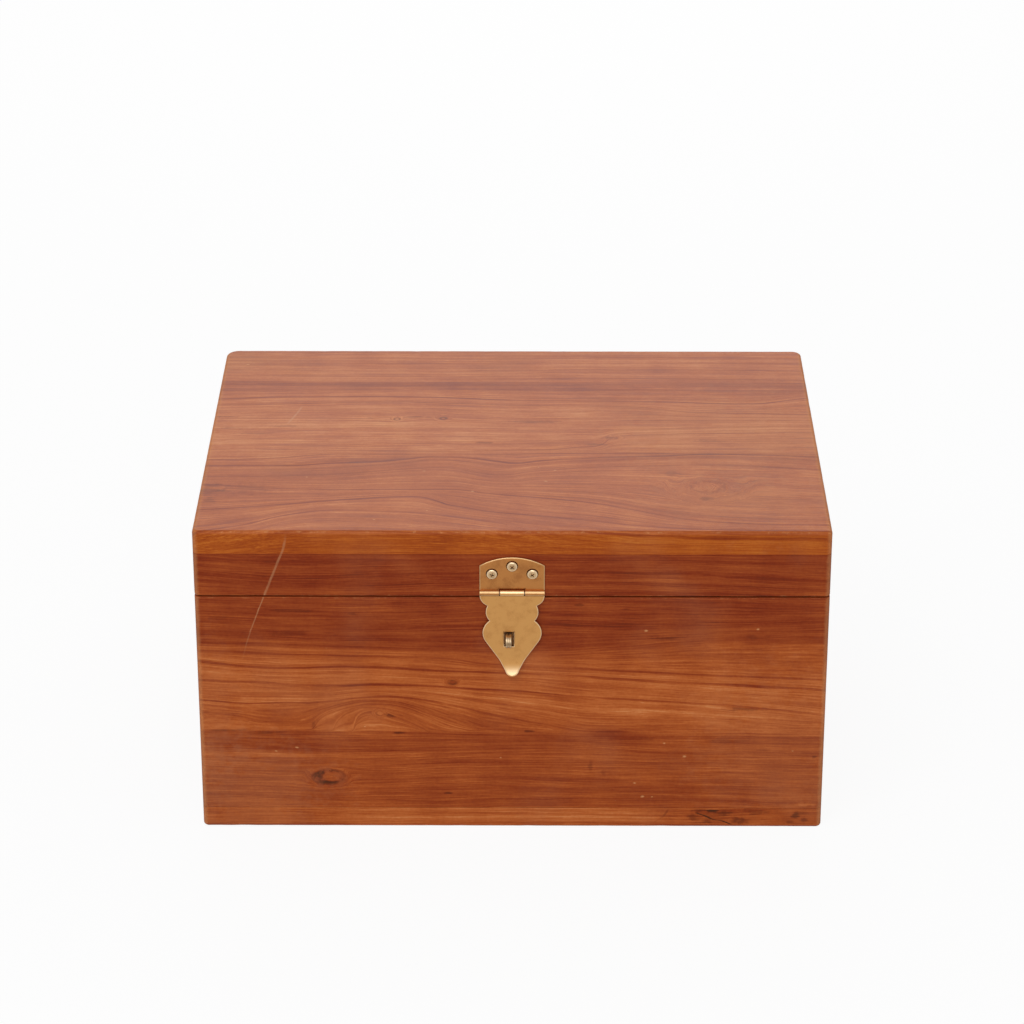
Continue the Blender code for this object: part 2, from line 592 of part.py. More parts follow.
def make_staple(base_front):
    """The staple's strip loop and the small plate that it passes through, under the closed flap."""
    inner = STAPLE_RADIUS - STAPLE_STRIP_THICKNESS
    bend = FLAP_FACE + STAPLE_PROUD - STAPLE_RADIUS
    foot = -STAPLE_LEG_DEPTH
    point = foot + STAPLE_STRIP_THICKNESS
    outline = [(foot, STAPLE_RADIUS)]
    outline += arc_through((bend, STAPLE_RADIUS), (bend + STAPLE_RADIUS, 0.0), (bend, -STAPLE_RADIUS))
    outline += [(bend, -STAPLE_RADIUS), (foot, -STAPLE_RADIUS), (point, -inner)]
    outline += arc_through((bend, -inner), (bend + inner, 0.0), (bend, inner))
    outline += [(bend, inner), (point, inner)]
    outwards = Matrix(((0, 0, -1, 0), (-1, 0, 0, 0), (0, 1, 0, 0), (0, 0, 0, 1)))
    place("staple_loop", outline_mesh("staple_loop", outline, STAPLE_STRIP_WIDTH), BRASS, BASE_PIVOT,
          STAPLE_CENTRE, outwards)

    end_radius = STAPLE_PLATE_HEIGHT / 2
    straight = STAPLE_PLATE_LENGTH / 2 - end_radius
    outline = arc_through((straight, -end_radius), (straight + end_radius, 0.0), (straight, end_radius))
    outline += [(straight, end_radius)]
    outline += arc_through((-straight, end_radius), (-straight - end_radius, 0.0), (-straight, -end_radius))
    outline += [(-straight, -end_radius)]
    plate_at = STAPLE_CENTRE - Vector((0, SEAT_GAP + STAPLE_PLATE_THICKNESS / 2, 0))
    plate = place("staple_plate", outline_mesh("staple_plate", outline, STAPLE_PLATE_THICKNESS), BRASS,
                  BASE_PIVOT, plate_at, FACING_FRONT)
    width = STAPLE_STRIP_WIDTH / 2 + FIT_GAP
    for leg_name, side in (("upper", 1), ("lower", -1)):
        low, high = sorted((side * (inner - FIT_GAP), side * (STAPLE_RADIUS + FIT_GAP)))
        leg = box_mesh("leg_hole", (-width, -CUT_OVERRUN, low), (width, STAPLE_LEG_DEPTH + FIT_GAP, high))
        leg_cutter = cutter(f"staple_{leg_name}_leg_hole", leg, STAPLE_CENTRE)
        cut(plate, leg_cutter)
        cut(base_front, leg_cutter)
    screw = screw_mesh("staple_screw", STAPLE_SCREW_HEAD, 0.0, STAPLE_SCREW_SHANK, STAPLE_SCREW_LENGTH)
    hole = screw_hole_mesh("staple_screw_hole", STAPLE_SCREW_HEAD, STAPLE_SCREW_SHANK, STAPLE_SCREW_LENGTH)
    face = -SEAT_GAP - STAPLE_PLATE_THICKNESS + HEAD_SINK
    for end_name, end in (("left", -1), ("right", 1)):
        spot = STAPLE_CENTRE + Vector((end * STAPLE_SCREW_SPREAD, face, 0))
        drive(f"staple_screw_{end_name}", screw, hole, (plate, base_front), BASE_PIVOT, spot, FACING_FRONT)


make_panel("base_bottom_panel", 0.0, BOTTOM_THICKNESS, -1, BASE_PIVOT)
base_walls = make_walls("base", "board", BASE_WALL_FOOT, BASE_RIM, 1, BASE_PIVOT)
lid_walls = make_walls("lid", "rail", LID_RIM, LID_RAIL_TOP, -1, LID_PIVOT)
make_panel("lid_top_panel", TOP_FOOT, BOX_TOP, 1, LID_PIVOT)
bevel_back_edge(base_walls["back"], "base_back_bevel", -1)
bevel_back_edge(lid_walls["back"], "lid_back_bevel", 1)
make_hinges(base_walls["back"], lid_walls["back"])
make_hasp_leaf(lid_walls["front"])
make_flap()
make_staple(base_walls["front"])
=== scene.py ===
from contextlib import contextmanager
import json
import math
import random

import bmesh
import bpy
from mathutils import Matrix, Vector, noise


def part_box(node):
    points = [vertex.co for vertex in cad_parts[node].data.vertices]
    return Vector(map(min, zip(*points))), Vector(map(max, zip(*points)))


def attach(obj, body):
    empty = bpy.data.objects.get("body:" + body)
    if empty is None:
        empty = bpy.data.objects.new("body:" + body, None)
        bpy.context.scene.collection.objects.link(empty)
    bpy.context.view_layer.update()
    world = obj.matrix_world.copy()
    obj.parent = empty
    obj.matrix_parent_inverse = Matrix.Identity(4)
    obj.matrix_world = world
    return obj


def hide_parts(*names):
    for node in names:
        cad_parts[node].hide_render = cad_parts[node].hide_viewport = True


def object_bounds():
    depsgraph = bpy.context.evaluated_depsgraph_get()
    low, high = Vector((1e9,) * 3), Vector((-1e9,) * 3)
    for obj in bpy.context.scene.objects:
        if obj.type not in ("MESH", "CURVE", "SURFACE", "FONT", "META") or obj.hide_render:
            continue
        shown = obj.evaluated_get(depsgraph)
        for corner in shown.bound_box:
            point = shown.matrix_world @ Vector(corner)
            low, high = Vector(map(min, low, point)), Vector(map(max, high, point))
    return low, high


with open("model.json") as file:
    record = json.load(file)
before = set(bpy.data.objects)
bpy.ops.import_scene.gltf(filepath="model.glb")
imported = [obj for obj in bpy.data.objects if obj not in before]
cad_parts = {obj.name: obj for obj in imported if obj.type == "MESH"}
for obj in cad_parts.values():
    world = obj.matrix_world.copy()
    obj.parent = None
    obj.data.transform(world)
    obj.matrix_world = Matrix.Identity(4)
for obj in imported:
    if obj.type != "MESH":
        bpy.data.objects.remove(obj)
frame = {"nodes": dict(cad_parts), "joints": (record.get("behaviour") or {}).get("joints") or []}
cadLow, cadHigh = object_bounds()
mm = 0.001
jointAt = {joint["name"]: Vector(joint["pos_m"]) for joint in frame["joints"]}
lidAxis = jointAt["lid_hinge"]
haspAxis = jointAt["hasp_hinge"]
ends = {"left": -1, "right": 1}
print("frame loaded:", len(frame["nodes"]), "nodes")


# Node wiring

def setStops(ramp, stops):
    for i, (position, colour) in enumerate(stops):
        stop = ramp.elements[i] if i < len(ramp.elements) else ramp.elements.new(position)
        stop.position = position
        stop.color = (*colour, 1.0)


def setPoints(mapping, points):
    mapping.use_clip = False        # the points are real sizes
    mapping.extend = "HORIZONTAL"
    curve = mapping.curves[0]
    for i, spot in enumerate(points):
        if i < 2:
            curve.points[i].location = spot
        else:
            curve.points.new(*spot)
    for point in curve.points:
        point.handle_type = "AUTO_CLAMPED"
    mapping.update()


class Wire:        # a socket on its way through a node tree, so that node maths reads as sums
    def __init__(self, tree, socket=None):
        self.tree = tree
        self.socket = socket

    def node(self, kind, settings=None, sockets=None, out=0):
        made = self.tree.nodes.new(kind)
        for key, value in (settings or {}).items():
            if key == "stops":
                setStops(made.color_ramp, value)
            elif key == "points":
                setPoints(made.mapping, value)
            else:
                setattr(made, key, value)
        for key, value in (sockets or {}).items():
            if isinstance(value, Wire):
                value.into(made.inputs[key])
            elif isinstance(value, list):        # several links into one socket
                for wire in value:
                    wire.into(made.inputs[key])
            else:
                made.inputs[key].default_value = value
        return Wire(self.tree, made.outputs[out] if made.outputs else None)

    def other(self, out):        # another output of the same node
        return Wire(self.tree, self.socket.node.outputs[out])

    def into(self, socket):
        self.tree.links.new(self.socket, socket)

    def math(self, operation, first, second=0.0):
        return self.node("ShaderNodeMath", {"operation": operation}, {0: first, 1: second})

    def __add__(self, other):
        return self.math("ADD", self, other)

    def __sub__(self, other):
        return self.math("SUBTRACT", self, other)

    def __rsub__(self, other):
        return self.math("SUBTRACT", other, self)

    def __mul__(self, other):
        return self.math("MULTIPLY", self, other)

    def __truediv__(self, other):
        return self.math("DIVIDE", self, other)

    def __abs__(self):
        return self.math("ABSOLUTE", self)

    __radd__ = __add__
    __rmul__ = __mul__

    def least(self, other):
        return self.math("MINIMUM", self, other)

    def most(self, other):
        return self.math("MAXIMUM", self, other)

    def root(self):
        return self.math("SQRT", self)

    def fract(self):
        return self.math("FRACT", self)

    def fade(self, start, end):        # 0 at start, 1 at end, smooth between
        return self.node("ShaderNodeMapRange", {"interpolation_type": "SMOOTHSTEP"},
                         {"Value": self, "From Min": start, "From Max": end})

    def curve(self, points):
        return self.node("ShaderNodeFloatCurve", {"points": points}, {1: self})

    def mix(self, share, first, second, blend="MIX"):        # colours
        return self.node("ShaderNodeMix", {"data_type": "RGBA", "blend_type": blend},
                         {0: share, 6: first, 7: second}, out=2)

    def tint(self, other, share, blend="MIX"):
        return self.mix(share, self, other, blend)


def newMaterial(name):
    material = bpy.data.materials.new(name)
    material.use_nodes = True
    return material, material.node_tree.nodes["Principled BSDF"], Wire(material.node_tree)


def placeInMm(tree):
    place = tree.node("ShaderNodeTexCoord", out="Object")
    place = tree.node("ShaderNodeVectorMath", {"operation": "SCALE"}, {0: place, "Scale": 1 / mm})
    x = tree.node("ShaderNodeSeparateXYZ", None, {0: place})
    return place, {"X": x, "Y": x.other("Y"), "Z": x.other("Z")}


# Wood

wood = {
    # tone against colour, from the black of a knot to a pale fleck
    "palette": [(-0.8, (0.016, 0.007, 0.004)), (-0.2, (0.090, 0.013, 0.002)), (0.2, (0.196, 0.022, 0.002)),
                (0.5, (0.283, 0.050, 0.008)), (0.75, (0.380, 0.082, 0.014)), (1.0, (0.490, 0.132, 0.030)),
                (1.5, (0.700, 0.310, 0.115))],
    "worn": (0.62, 0.29, 0.115, 1.0),        # rubbed arrises, and the painted highlight along the upright corners
    "bare": (0.40, 0.165, 0.062, 1.0),       # unvarnished inside faces
    "speck": (0.64, 0.32, 0.13, 1.0),
    "scratch": (0.58, 0.31, 0.15, 1.0),
    # dust, and a painted reflection haze on the right of the top
    "dust": (0.54, 0.29, 0.16, 1.0),
    "smoke": (0.050, 0.017, 0.004, 1.0),     # knots and stains
    "roughness": 0.42, "ior": 1.22, "bump": 0.55, "bumpReach": 0.06 * mm,
    "lineGap": 0.4, "ripple": 1.3, "ringGap": 4.6, "ringSway": 9.0, "ringTone": 0.12, "poreTone": 0.16,
    "strength": (0.6, 0.4),        # of lines and rings, as a gain and a least
    "ragged": (1.6, 0.9), "lineRagged": 1.3, "stainRagged": 1.1,        # how far fine grain pulls at marks
    "endReach": (1.6, 0.3), "edgeDepth": (1.0, 2.2), "bareDepth": (0.5, 0.2), "bareRim": (0.30, 0.10),
    "shadeTone": 0.6, "smokeFrom": 0.12, "smokeGain": 1.1, "smokeMost": 0.85, "mottle": 0.22,
    "dustFade": (0.50, 0.74), "dustShare": 0.08, "speckShare": 0.68, "softLight": 0.9, "bareShare": 0.85,
    # what each part of the grain adds
    "tone": {"cloud": 0.5, "broad": 0.75, "fine": 0.9, "fibre": 0.6, "flecks": 0.22, "endGrain": -0.06},
    "rough": {"fine": 0.24, "pores": 0.10, "worn": 0.18, "bare": 0.22, "endGrain": 0.08, "dust": 0.3},
    "relief": {"fine": 0.5, "fibre": 0.4, "pores": -0.8, "marks": -0.2, "shade": -0.1, "specks": -0.3},
}
# noise drawn out along the grain: pitch along and across in mm, shift of the seed, detail, range that counts
drawnNoise = {"wander": (130, 26, 0, 1.0), "ripple": (26, 5, 5, 1.0), "broad": (190, 3.4, 1, 2.0),
              "fine": (48, 0.62, 2, 3.0), "fibre": (11, 0.34, 6, 2.0),
              "pores": (5.5, 0.20, 3, 2.0, 0.58, 0.74), "flecks": (6, 0.45, 7, 2.0, 0.64, 0.80),
              "strength": (52, 18, 4, 1.0, 0.30, 0.62)}
# noise that is alike in all directions: size in mm, detail and roughness
evenNoise = {"patches": (4.3, 2.0, 0.5), "cloud": (24, 3.0, 0.5), "mottle": (1.7, 2.0, 0.5),
             "dust": (60, 4.0, 0.5), "rub": (1 / 0.34, 4.0, 0.65), "patina": (6.25, 4.0, 0.6),
             "metalGrain": (1 / 2.6, 2.0, 0.5)}
boxHalf = {"X": cadHigh.x / mm, "Y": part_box("base_back_board")[1].y / mm}
boxTop = cadHigh.z / mm
parting = lidAxis.z / mm
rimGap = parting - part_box("base_front_board")[1].z / mm
wallThick = (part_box("base_left_board")[1].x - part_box("base_left_board")[0].x) / mm
panelThick = (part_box("lid_top_panel")[1].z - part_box("lid_top_panel")[0].z) / mm

frontFace, topFace = ("Y", -boxHalf["Y"]), ("Z", boxTop)
lineEnd = 165        # growth lines are given their heights at both sides, then places between


def scratchLine(run, side, width, strength, start, stop, *points):        # start and stop are fades
    return {"run": run, "side": side, "width": width, "strength": strength, "start": start, "stop": stop,
            "points": points}


def grown(tone, sides, *between, **marks):        # a growth line, in mm; a glue line has two tones
    points = ((-lineEnd, sides[0]), *between, (lineEnd, sides[1]))
    return {"tone": tone, "points": points, **marks}


def knotAt(at, size, swirl, rim, core, eye=(0, 0, 0.5, 0.5)):        # eye: a shift, then a size
    return {"at": at, "size": size, "swirl": swirl, "rim": rim, "core": core, "eye": eye}


baseScratch = scratchLine("Z", frontFace, 0.28, 0.5, (94, 134), (139, 138), (88, -143), (100, -141),
                          (111.7, -138), (125, -133.4), (138.5, -128.3))
lidScratch = scratchLine("Z", frontFace, 0.55, 0.36, (137, 139), (175, 164), (138.5, -128.3),
                         (154.6, -122), (166.7, -117.5), (174, -116.5))
topScratch = scratchLine("Y", topFace, 0.5, 0.4, (14, 20), (42, 36), (14, -124.6), (27, -120.6),
                         (41, -117))
longCrack = scratchLine("Z", frontFace, 0.7, 1.0, (1.4, 2.4), (9.6, 8.0), (2.0, 116.6), (4.0, 111.7),
                        (4.9, 106.8), (6.8, 103.4), (8.6, 98.5))
figureEdge = scratchLine("Z", frontFace, 0.6, 0.3, (2.4, 4.0), (12, 10), (3.4, 76.4), (6.6, 80.5),
                         (10.9, 83.3))

# stains and dust marks are (along, across, reach, height, strength), in mm; some dust marks paint a
# reflection haze
frontWall = {
    "axes": "XZY", "face": -boxHalf["Y"], "inward": 1, "thick": wallThick, "slope": 0.5,
    "seed": 3.0, "wave": 4.0,
    "lines": [
        grown(0.66, (3.1, 2.1)),
        grown(0.60, (17.1, 15.1), (-60, 15.6), (40, 18.1), dark=0.16, width=0.8),
        grown(0.62, (27.1, 24.1), (-120, 26.1), (-98, 24.3), (-76, 26.1), (-20, 27.6), (45, 25.6),
              dark=0.14, width=0.8),
        grown(0.68, (37.1, 34.1), (-125, 35.9), (-98, 36.7), (-70, 34.6), (30, 36.1), dark=0.16,
              width=0.7),
        grown(0.65, (48.1, 46.1), (-60, 46.1), (20, 48.1), (90, 45.1), dark=0.16, width=0.8),
        grown((0.60, 0.74), (57.7, 54.5), dark=0.14, width=1.0),
        grown(0.76, (58.1, 55.1), (-84.5, 57.3), (-82.7, 62.6), (-80.2, 66.8), (-75.5, 69.3), (-70, 69.5),
              (-62, 66.8), (-54, 63), (-47, 59.1), (-44, 57.1), dark=0.20, width=0.6, span=(-86, -44)),
        grown(0.80, (58.5, 55.5), (-95, 57.9), (-92.6, 62.1), (-89, 66.4), (-84, 69.4), (-77.5, 71.4),
              (-68, 71.2), (-57, 68.2), (-47, 63.6), (-38, 59.1), (-34, 57.7), dark=0.22, width=0.6,
              span=(-96, -34)),
        grown(0.79, (58.9, 55.9), (-106, 58.3), (-103.6, 61.6), (-100, 65.6), (-92.5, 69.5), (-84, 72.3),
              (-75, 73.7), (-66, 73.3), (-54, 70.6), (-42, 65.3), (-30, 60.6), (-22, 58.3), dark=0.32,
              width=0.7, span=(-108, -20)),
        grown(0.78, (68.6, 56.3), (-148, 67.5), (-126, 63), (-115, 63.5), (-107.5, 66.2), (-97.5, 71),
              (-86, 74.2), (-75, 75.4), (-66, 75.1), (-55, 73), (-42, 68), (-25.5, 62.1), (-14, 58.1),
              (40, 56.7), dark=0.22, width=1.2, span=(-190, -14)),
        grown(0.82, (76.7, 56.9), (-136.5, 74.8), (-114, 74.7), (-97.5, 75.4), (-84, 77), (-72, 77.8),
              (-53, 76.9), (-31, 73.2), (-14, 68.9), (3.5, 65.1), (15.4, 62.8), (37, 58.7), (70, 57.9),
              dark=0.40, width=0.8, span=(-190, 62), under=(-24, 70, 10, 0.28)),
        grown(0.86, (88.1, 67.7), (-136, 86.5), (-92, 84), (-72, 84.7), (-36, 84.1), (3.5, 81.9),
              (33.5, 79.2), (73, 76.4), (107, 73.8), (133, 71.1), dark=0.44, width=0.85),
        grown(0.82, (99.8, 82.7), (-125, 95.2), (-74, 94.8), (-42, 93.4), (-3, 92.3), (33, 90.6),
              (73, 88.6), (112, 86.1), dark=0.46, width=0.9),
        grown(0.76, (105.9, 88.6), (-148, 105.1), (-97, 102.5), (-70, 101.8), (-36, 100.7), (-14.5, 97.9),
              (25, 95.5), (73, 93.3), (115, 91.1), dark=0.26, width=0.8),
        grown((0.66, 0.50), (109.9, 112.1), (-125, 108.2), (-97, 107.1), (-36.5, 104.8), (4.5, 104.9),
              (46, 107.3), (98.5, 111.1), dark=0.12, width=1.6),
        grown(0.40, (122.1, 123.1), (-90, 120.1), (0, 123.1), (80, 121.1), dark=0.14, width=2),
        grown(0.42, (134.1, 132.1), (-60, 133.1), (60, 135.1), dark=0.10, width=2),
        grown(0.42, (151.1, 147.1), (-120, 148.1), (-40, 150.1), (60, 151.1), dark=0.16, width=1.4),
        grown(0.38, (167.1, 166.1)),
    ],
    "knots": [
        knotAt((-97.5, 30.4), (8.6, 4.9), 1.7, 0.82, 0.02, eye=(0.18, 0.08, 0.60, 0.72)),
        knotAt((-31.4, 86.7), (2.7, 1.6), 2.0, 0.60, -0.25),
        knotAt((-69.7, 68.1), (2.5, 2.1), 1.8, 0.30, 0.05, eye=(0, 0, 0.6, 0.6)),
    ],
    "stains": [
        (-114, 128.8, 16, 1.0, -0.28), (-83, 127.1, 4.5, 0.8, -0.30), (-118, 115.5, 12, 2.2, -0.22),
        (-151, 124.8, 10, 1.4, -0.20), (-59.4, 56.9, 3.6, 0.9, -0.48), (-64.3, 67.4, 3.0, 1.7, -0.45),
        (-152, 58.3, 11, 0.6, -0.40), (-130, 56.7, 12, 1.4, -0.30), (-104.6, 61.4, 1.7, 3.4, -0.28),
        (34.7, 132.5, 3.5, 0.8, -0.35), (9.8, 58.2, 4.5, 0.9, -0.50), (41.6, 36.1, 1.8, 3.4, -0.28),
        (48.9, 33.3, 2.2, 1.6, -0.15), (-33.8, 20.7, 3.2, 0.7, -0.40), (18, 52.6, 26, 3.0, -0.10),
        (-5, 26, 60, 24, -0.07), (59.6, 130.1, 4.5, 0.8, -0.25), (80.6, 113.2, 10, 1.6, -0.28),
        (127, 113.7, 10, 1.6, -0.25), (122, 71.3, 13, 1.5, -0.42), (68, 53.7, 14, 1.6, -0.22),
        (113, 52.4, 16, 1.8, -0.24), (134, 46.9, 5, 0.8, -0.22), (159.9, 42.8, 1.4, 1.0, -0.40),
        (157, 14.2, 9, 1.6, 0.60), (118, 80, 50, 24, 0.06), (122, 26, 48, 24, 0.05),
    ],
    "dust": [(-140, 22, 54, 36, 0.10), (-158, 63, 16, 60, 0.05), (140, 44, 50, 60, 0.06)],
    "specks": [(-77.7, 60.6), (-124.9, 45.9), (-113.9, 48), (-6, 42.1), (65.1, 26.9), (69.3, 18.7),
               (74.4, 18.5), (80.5, 51), (91.2, 43.1), (148.4, 46.5), (128.1, 118.6), (69.8, 117.6)],
    "scratches": [baseScratch, lidScratch], "cracks": [],
}
topPanel = {
    "axes": "XYZ", "face": boxTop, "inward": -1, "thick": panelThick, "slope": -0.9,
    "seed": 11.0, "wave": 4.5, "edge": (0.90, 0.79, 0.32, 1.0),
    "lines": [
        grown(0.80, (-138.8, -138.8)),
        grown(0.88, (-123, -127), (-136, -113.2), (-118, -102.9), (-91, -97), (-69, -98.1), (-45, -101),
              (-14, -109.8), (20, -119.1), dark=0.41, width=1.2),
        grown(0.86, (-95.5, -121.1), (-120, -89.6), (-80, -82.7), (-53, -80.2), (-31, -90.6), (4, -100.8),
              (38, -107.9), (63, -113.5), (100, -118.1), dark=0.41, width=1.0),
        grown(0.86, (-64, -113.2), (-115, -69.9), (-80, -70.9), (-50, -70.7), (-31, -70.6), (-14, -74.8),
              (19, -81.5), (45, -87.9), (65, -95.7), (82, -103.3), (110, -110.2), dark=0.38, width=1.1),
        grown(0.84, (-54.2, -44.3), (-100, -52.2), (-60, -44.3), (-40, -42.3), (-6.5, -51.5), (13, -46.8),
              (45, -41.4), (75, -39.4), (100, -37.4), (130, -39.4), dark=0.22, width=1.2),
        grown(0.82, (-40.4, -27.6), (-117, -38.9), (-100, -36.4), (-74, -34.5), (-60, -31.8),
              (-43, -27.6), (-26, -29), (-9, -34.5), (0, -37.2), (17, -33.3), (53, -29), (85, -26.1),
              (101, -24.1), (124, -24.6), dark=0.50, width=1.1),
        grown((0.84, 0.94), (-32.5, -23.7), (-128, -29.6), (-101, -25.1), (-80, -24.4), dark=0.36,
              width=0.8),
        grown(0.98, (-18.7, 4.9), (-60, -19.7), (20, -18.2), (33, -15.2), (46.8, -12.3), (54, -1.6),
              (62, 1.8), (71, 2.4), (100, 3.9), dark=0.29, width=0.8),
        grown(1.03, (6.9, 14.7), (-60, 9.8), (30, 8.8), (70, 9.8), dark=0.10, width=1.7),
        grown(1.02, (22.6, 22.6), (-84, 24), (-64, 23), (-46, 25.2), (-34, 22.2), (-7, 20.2), (10, 18.8),
              (28, 19.3), (100, 21.6), dark=0.31, width=0.9),
        grown(0.96, (42.3, 30.5), (-114, 44.9), (-75, 47.3), (4, 42.5), (69, 39.9), (100, 32.9),
              dark=0.41, width=0.8),
        grown(0.92, (50.7, 53.1), (-122, 53.9), (-75, 54.1), (4, 49.6), (52.7, 48.3), (100, 46.5),
              (130, 45.3), (161, 52.1), dark=0.56, width=0.9),
        grown(0.80, (62.9, 62.9), (-60, 64.4), (60, 63.4), dark=0.19, width=2.0),
        grown((0.64, 0.88), (75.2, 73.8), dark=0.12, width=0.8),
        grown(0.92, (94.4, 92.5), (-60, 91.5), (60, 95.4), dark=0.19, width=1.4),
        grown(0.89, (124.9, 124.9)),
    ],
    "knots": [
        knotAt((103, -66.5), (10, 8), 2.9, 0.20, 0.12, eye=(0, 0, 0.8, 0.8)),
        knotAt((-64, 23.2), (2.2, 2.2), 2.2, 0.55, 0.15, eye=(0, 0, 0.6, 0.6)),
        knotAt((-38.5, 24.1), (2.6, 2.2), 2.2, 0.50, -0.1, eye=(0, 0, 0.4, 0.4)),
        knotAt((53.5, -2), (3.6, 2.0), 2.2, 0.50, -0.4, eye=(0, 0, 0.3, 0.3)),
    ],
    "stains": [
        (-160, -71, 8, 9, -0.26), (-158, -85, 5, 5, -0.26), (-138, -69, 17, 9, -0.21),
        (-40, 69.8, 150, 5, -0.12), (-158.5, 25.6, 8, 1.4, -0.30), (-124, 12.6, 12, 1.8, -0.24),
        (-154, 11, 10, 2.0, -0.24), (-142, 2.8, 15, 1.6, -0.24), (-78, 24.5, 7, 1.3, -0.42),
        (-54, 25.7, 9, 1.2, -0.32), (12, 19.3, 17, 2.4, -0.30), (-15.5, -9.2, 8, 1.6, -0.35),
        (46, -11.4, 12, 1.8, -0.30), (108, -6.4, 13, 2.0, -0.32), (84.8, -49.3, 6, 4.0, -0.26),
        (101.3, -81.2, 5, 3.2, -0.32), (60, -107.3, 40, 5, -0.08), (-119.2, -37.1, 3.4, 1.6, 0.30),
        (155, 20.6, 24, 70, 0.06), (100, -1, 40, 22, 0.06),
    ],
    # the last two dust marks are a painted reflection: a pale haze on the right of the top
    "dust": [(-155, 107.2, 22, 16, 0.14), (115, 0, 75, 70, 0.12), (120, -85, 60, 34, 0.10)],
    "specks": [(-109.4, -54.7), (-47.2, -46.7), (-21, -72.6), (-44.5, -96.5), (-71.5, -107.5), (17.5, -59.6),
               (13.7, -41.5), (22.6, -45.5), (-151.7, 100.8)],
    "scratches": [lidScratch, topScratch], "cracks": [],
}
bottomPanel = {
    "axes": "XZY", "face": -boxHalf["Y"], "inward": 1, "thick": 2 * boxHalf["Y"], "slope": 0.28, "seed": 23.0,
    "wave": 3.0,
    "alongTone": [(-165, -0.12), (-90, -0.04), (-70, 0.06), (55, 0.10), (85, -0.06), (165, -0.14)],
    "lines": [
        grown(0.66, (-30, -30)),
        grown(0.80, (1, 0.5), (0, 2.5), dark=0.14, width=0.9),
        grown(0.88, (8, 8.5), (-40, 9), (90, 7), dark=0.16, width=0.8),
        grown(0.66, (45, 45)),
        grown(0.70, (90, 90)),
    ],
    "knots": [],
    "stains": [
        (107, 10, 3.4, 1.2, -0.75), (107, 6, 17, 6.0, -0.22), (138, 6, 20, 5.0, -0.14),
        (84, 7, 5, 4.5, -0.12), (120, 4, 6, 2.2, -0.24), (99, 10.2, 5, 1.1, -0.32),
        (97, 6, 4, 2.4, -0.24), (113, 8.4, 4, 1.8, -0.28), (103, 3.4, 3.4, 1.4, -0.30),
        (130, 9.4, 7, 1.6, -0.20), (151, 6.6, 2.6, 2.0, -0.44), (156, 4.6, 2.8, 1.7, -0.40),
        (149, 3.2, 3.0, 1.3, -0.28), (155, 8.8, 4.0, 1.4, -0.24),
    ],
    "dust": [(-140, 4, 40, 12, 0.08)],
    "specks": [], "scratches": [], "cracks": [longCrack, figureEdge],
}


# growth lines for the faces that aren't seen
drawnForm = {"count": 12, "past": 12, "steps": 3, "bend": 5, "sway": 0.8, "tone": (0.46, 0.80),
             "dark": (0.10, 0.22, 0.44), "width": (0.8, 1.7), "jointDrop": 2}
glueLine = {"tone": (0.50, 0.74), "dark": 0.2, "width": 0.8}


def drawnLines(seed, half, joint):
    chance = random.Random(seed)
    count, steps, bend, sway = (drawnForm[size] for size in ("count", "steps", "bend", "sway"))
    low, high = -drawnForm["past"], boxTop + drawnForm["past"]
    spots = [half * (i / steps - 1) for i in range(2 * steps + 1)]
    lowerBend = [chance.uniform(-bend, bend) for spot in spots]
    upperBend = [chance.uniform(-bend, bend) for spot in spots]
    lines = []
    for i in range(count + 1):
        share = i / count
        level = low + (high - low) * share
        bends = [a + (b - a) * share + chance.uniform(-sway, sway) for a, b in zip(lowerBend, upperBend)]
        lines.append({"points": [(spot, level + bent) for spot, bent in zip(spots, bends)],
                      "tone": chance.uniform(*drawnForm["tone"]), "dark": chance.choice(drawnForm["dark"]),
                      "width": chance.uniform(*drawnForm["width"])})
    level = low + (high - low) * joint / count
    lines[joint].update(points=[(-half, level), (half, level - drawnForm["jointDrop"])], **glueLine)
    return lines


def plainWall(axes, face, inward, seed, joint, knots):
    lines = drawnLines(seed, boxHalf[axes[0]], joint)
    bare = {kind: [] for kind in ("stains", "dust", "specks", "scratches", "cracks")}
    return {"axes": axes, "face": face, "inward": inward, "thick": wallThick, "slope": 0.5, "seed": seed,
            "wave": 5.0, "lines": lines, "knots": knots, **bare}


leftWall = plainWall("YZX", -boxHalf["X"], 1, 31.0, 4, [
    knotAt((48, 92), (5, 4), 2.6, 0.5, -0.10, eye=(0, 0, 0.6, 0.6)),
    knotAt((-71, 38), (2.4, 1.6), 2.2, 0.6, -0.25)])
rightWall = plainWall("YZX", boxHalf["X"], -1, 47.0, 5, [
    knotAt((-35, 92), (8, 5.5), 2.7, 0.3, 0.06, eye=(0, 0, 0.7, 0.7)),
    knotAt((80, 42), (2.2, 1.5), 2.2, 0.6, -0.25)])
backWall = plainWall("XZY", boxHalf["Y"], -1, 59.0, 7, [
    knotAt((-92, 74), (7, 4.6), 2.8, 0.4, 0.04, eye=(0.1, 0, 0.6, 0.6)),
    knotAt((60, 41), (3, 2), 2.2, 0.6, -0.25),
    knotAt((121, 124), (2.2, 1.4), 2.2, 0.5, -0.2)])


def streaks(tree, name, places, seed):
    along, across, through = places
    reach, width, shift, detail, *span = drawnNoise[name]
    vector = tree.node("ShaderNodeCombineXYZ", None,
                       {0: along / reach + (seed + shift), 1: across / width, 2: through / width})
    drawn = tree.node("ShaderNodeTexNoise", None, {"Vector": vector, "Scale": 1.0, "Detail": detail})
    return drawn.fade(*span) if span else drawn - 0.5


def clouds(tree, name, place):
    size, detail, roughness = evenNoise[name]
    return tree.node("ShaderNodeTexNoise", None,
                     {"Vector": place, "Scale": 1 / size, "Detail": detail, "Roughness": roughness})


def weigh(parts, weights, total=0.0):
    for name, weight in weights.items():
        total = parts[name] * weight + total
    return total


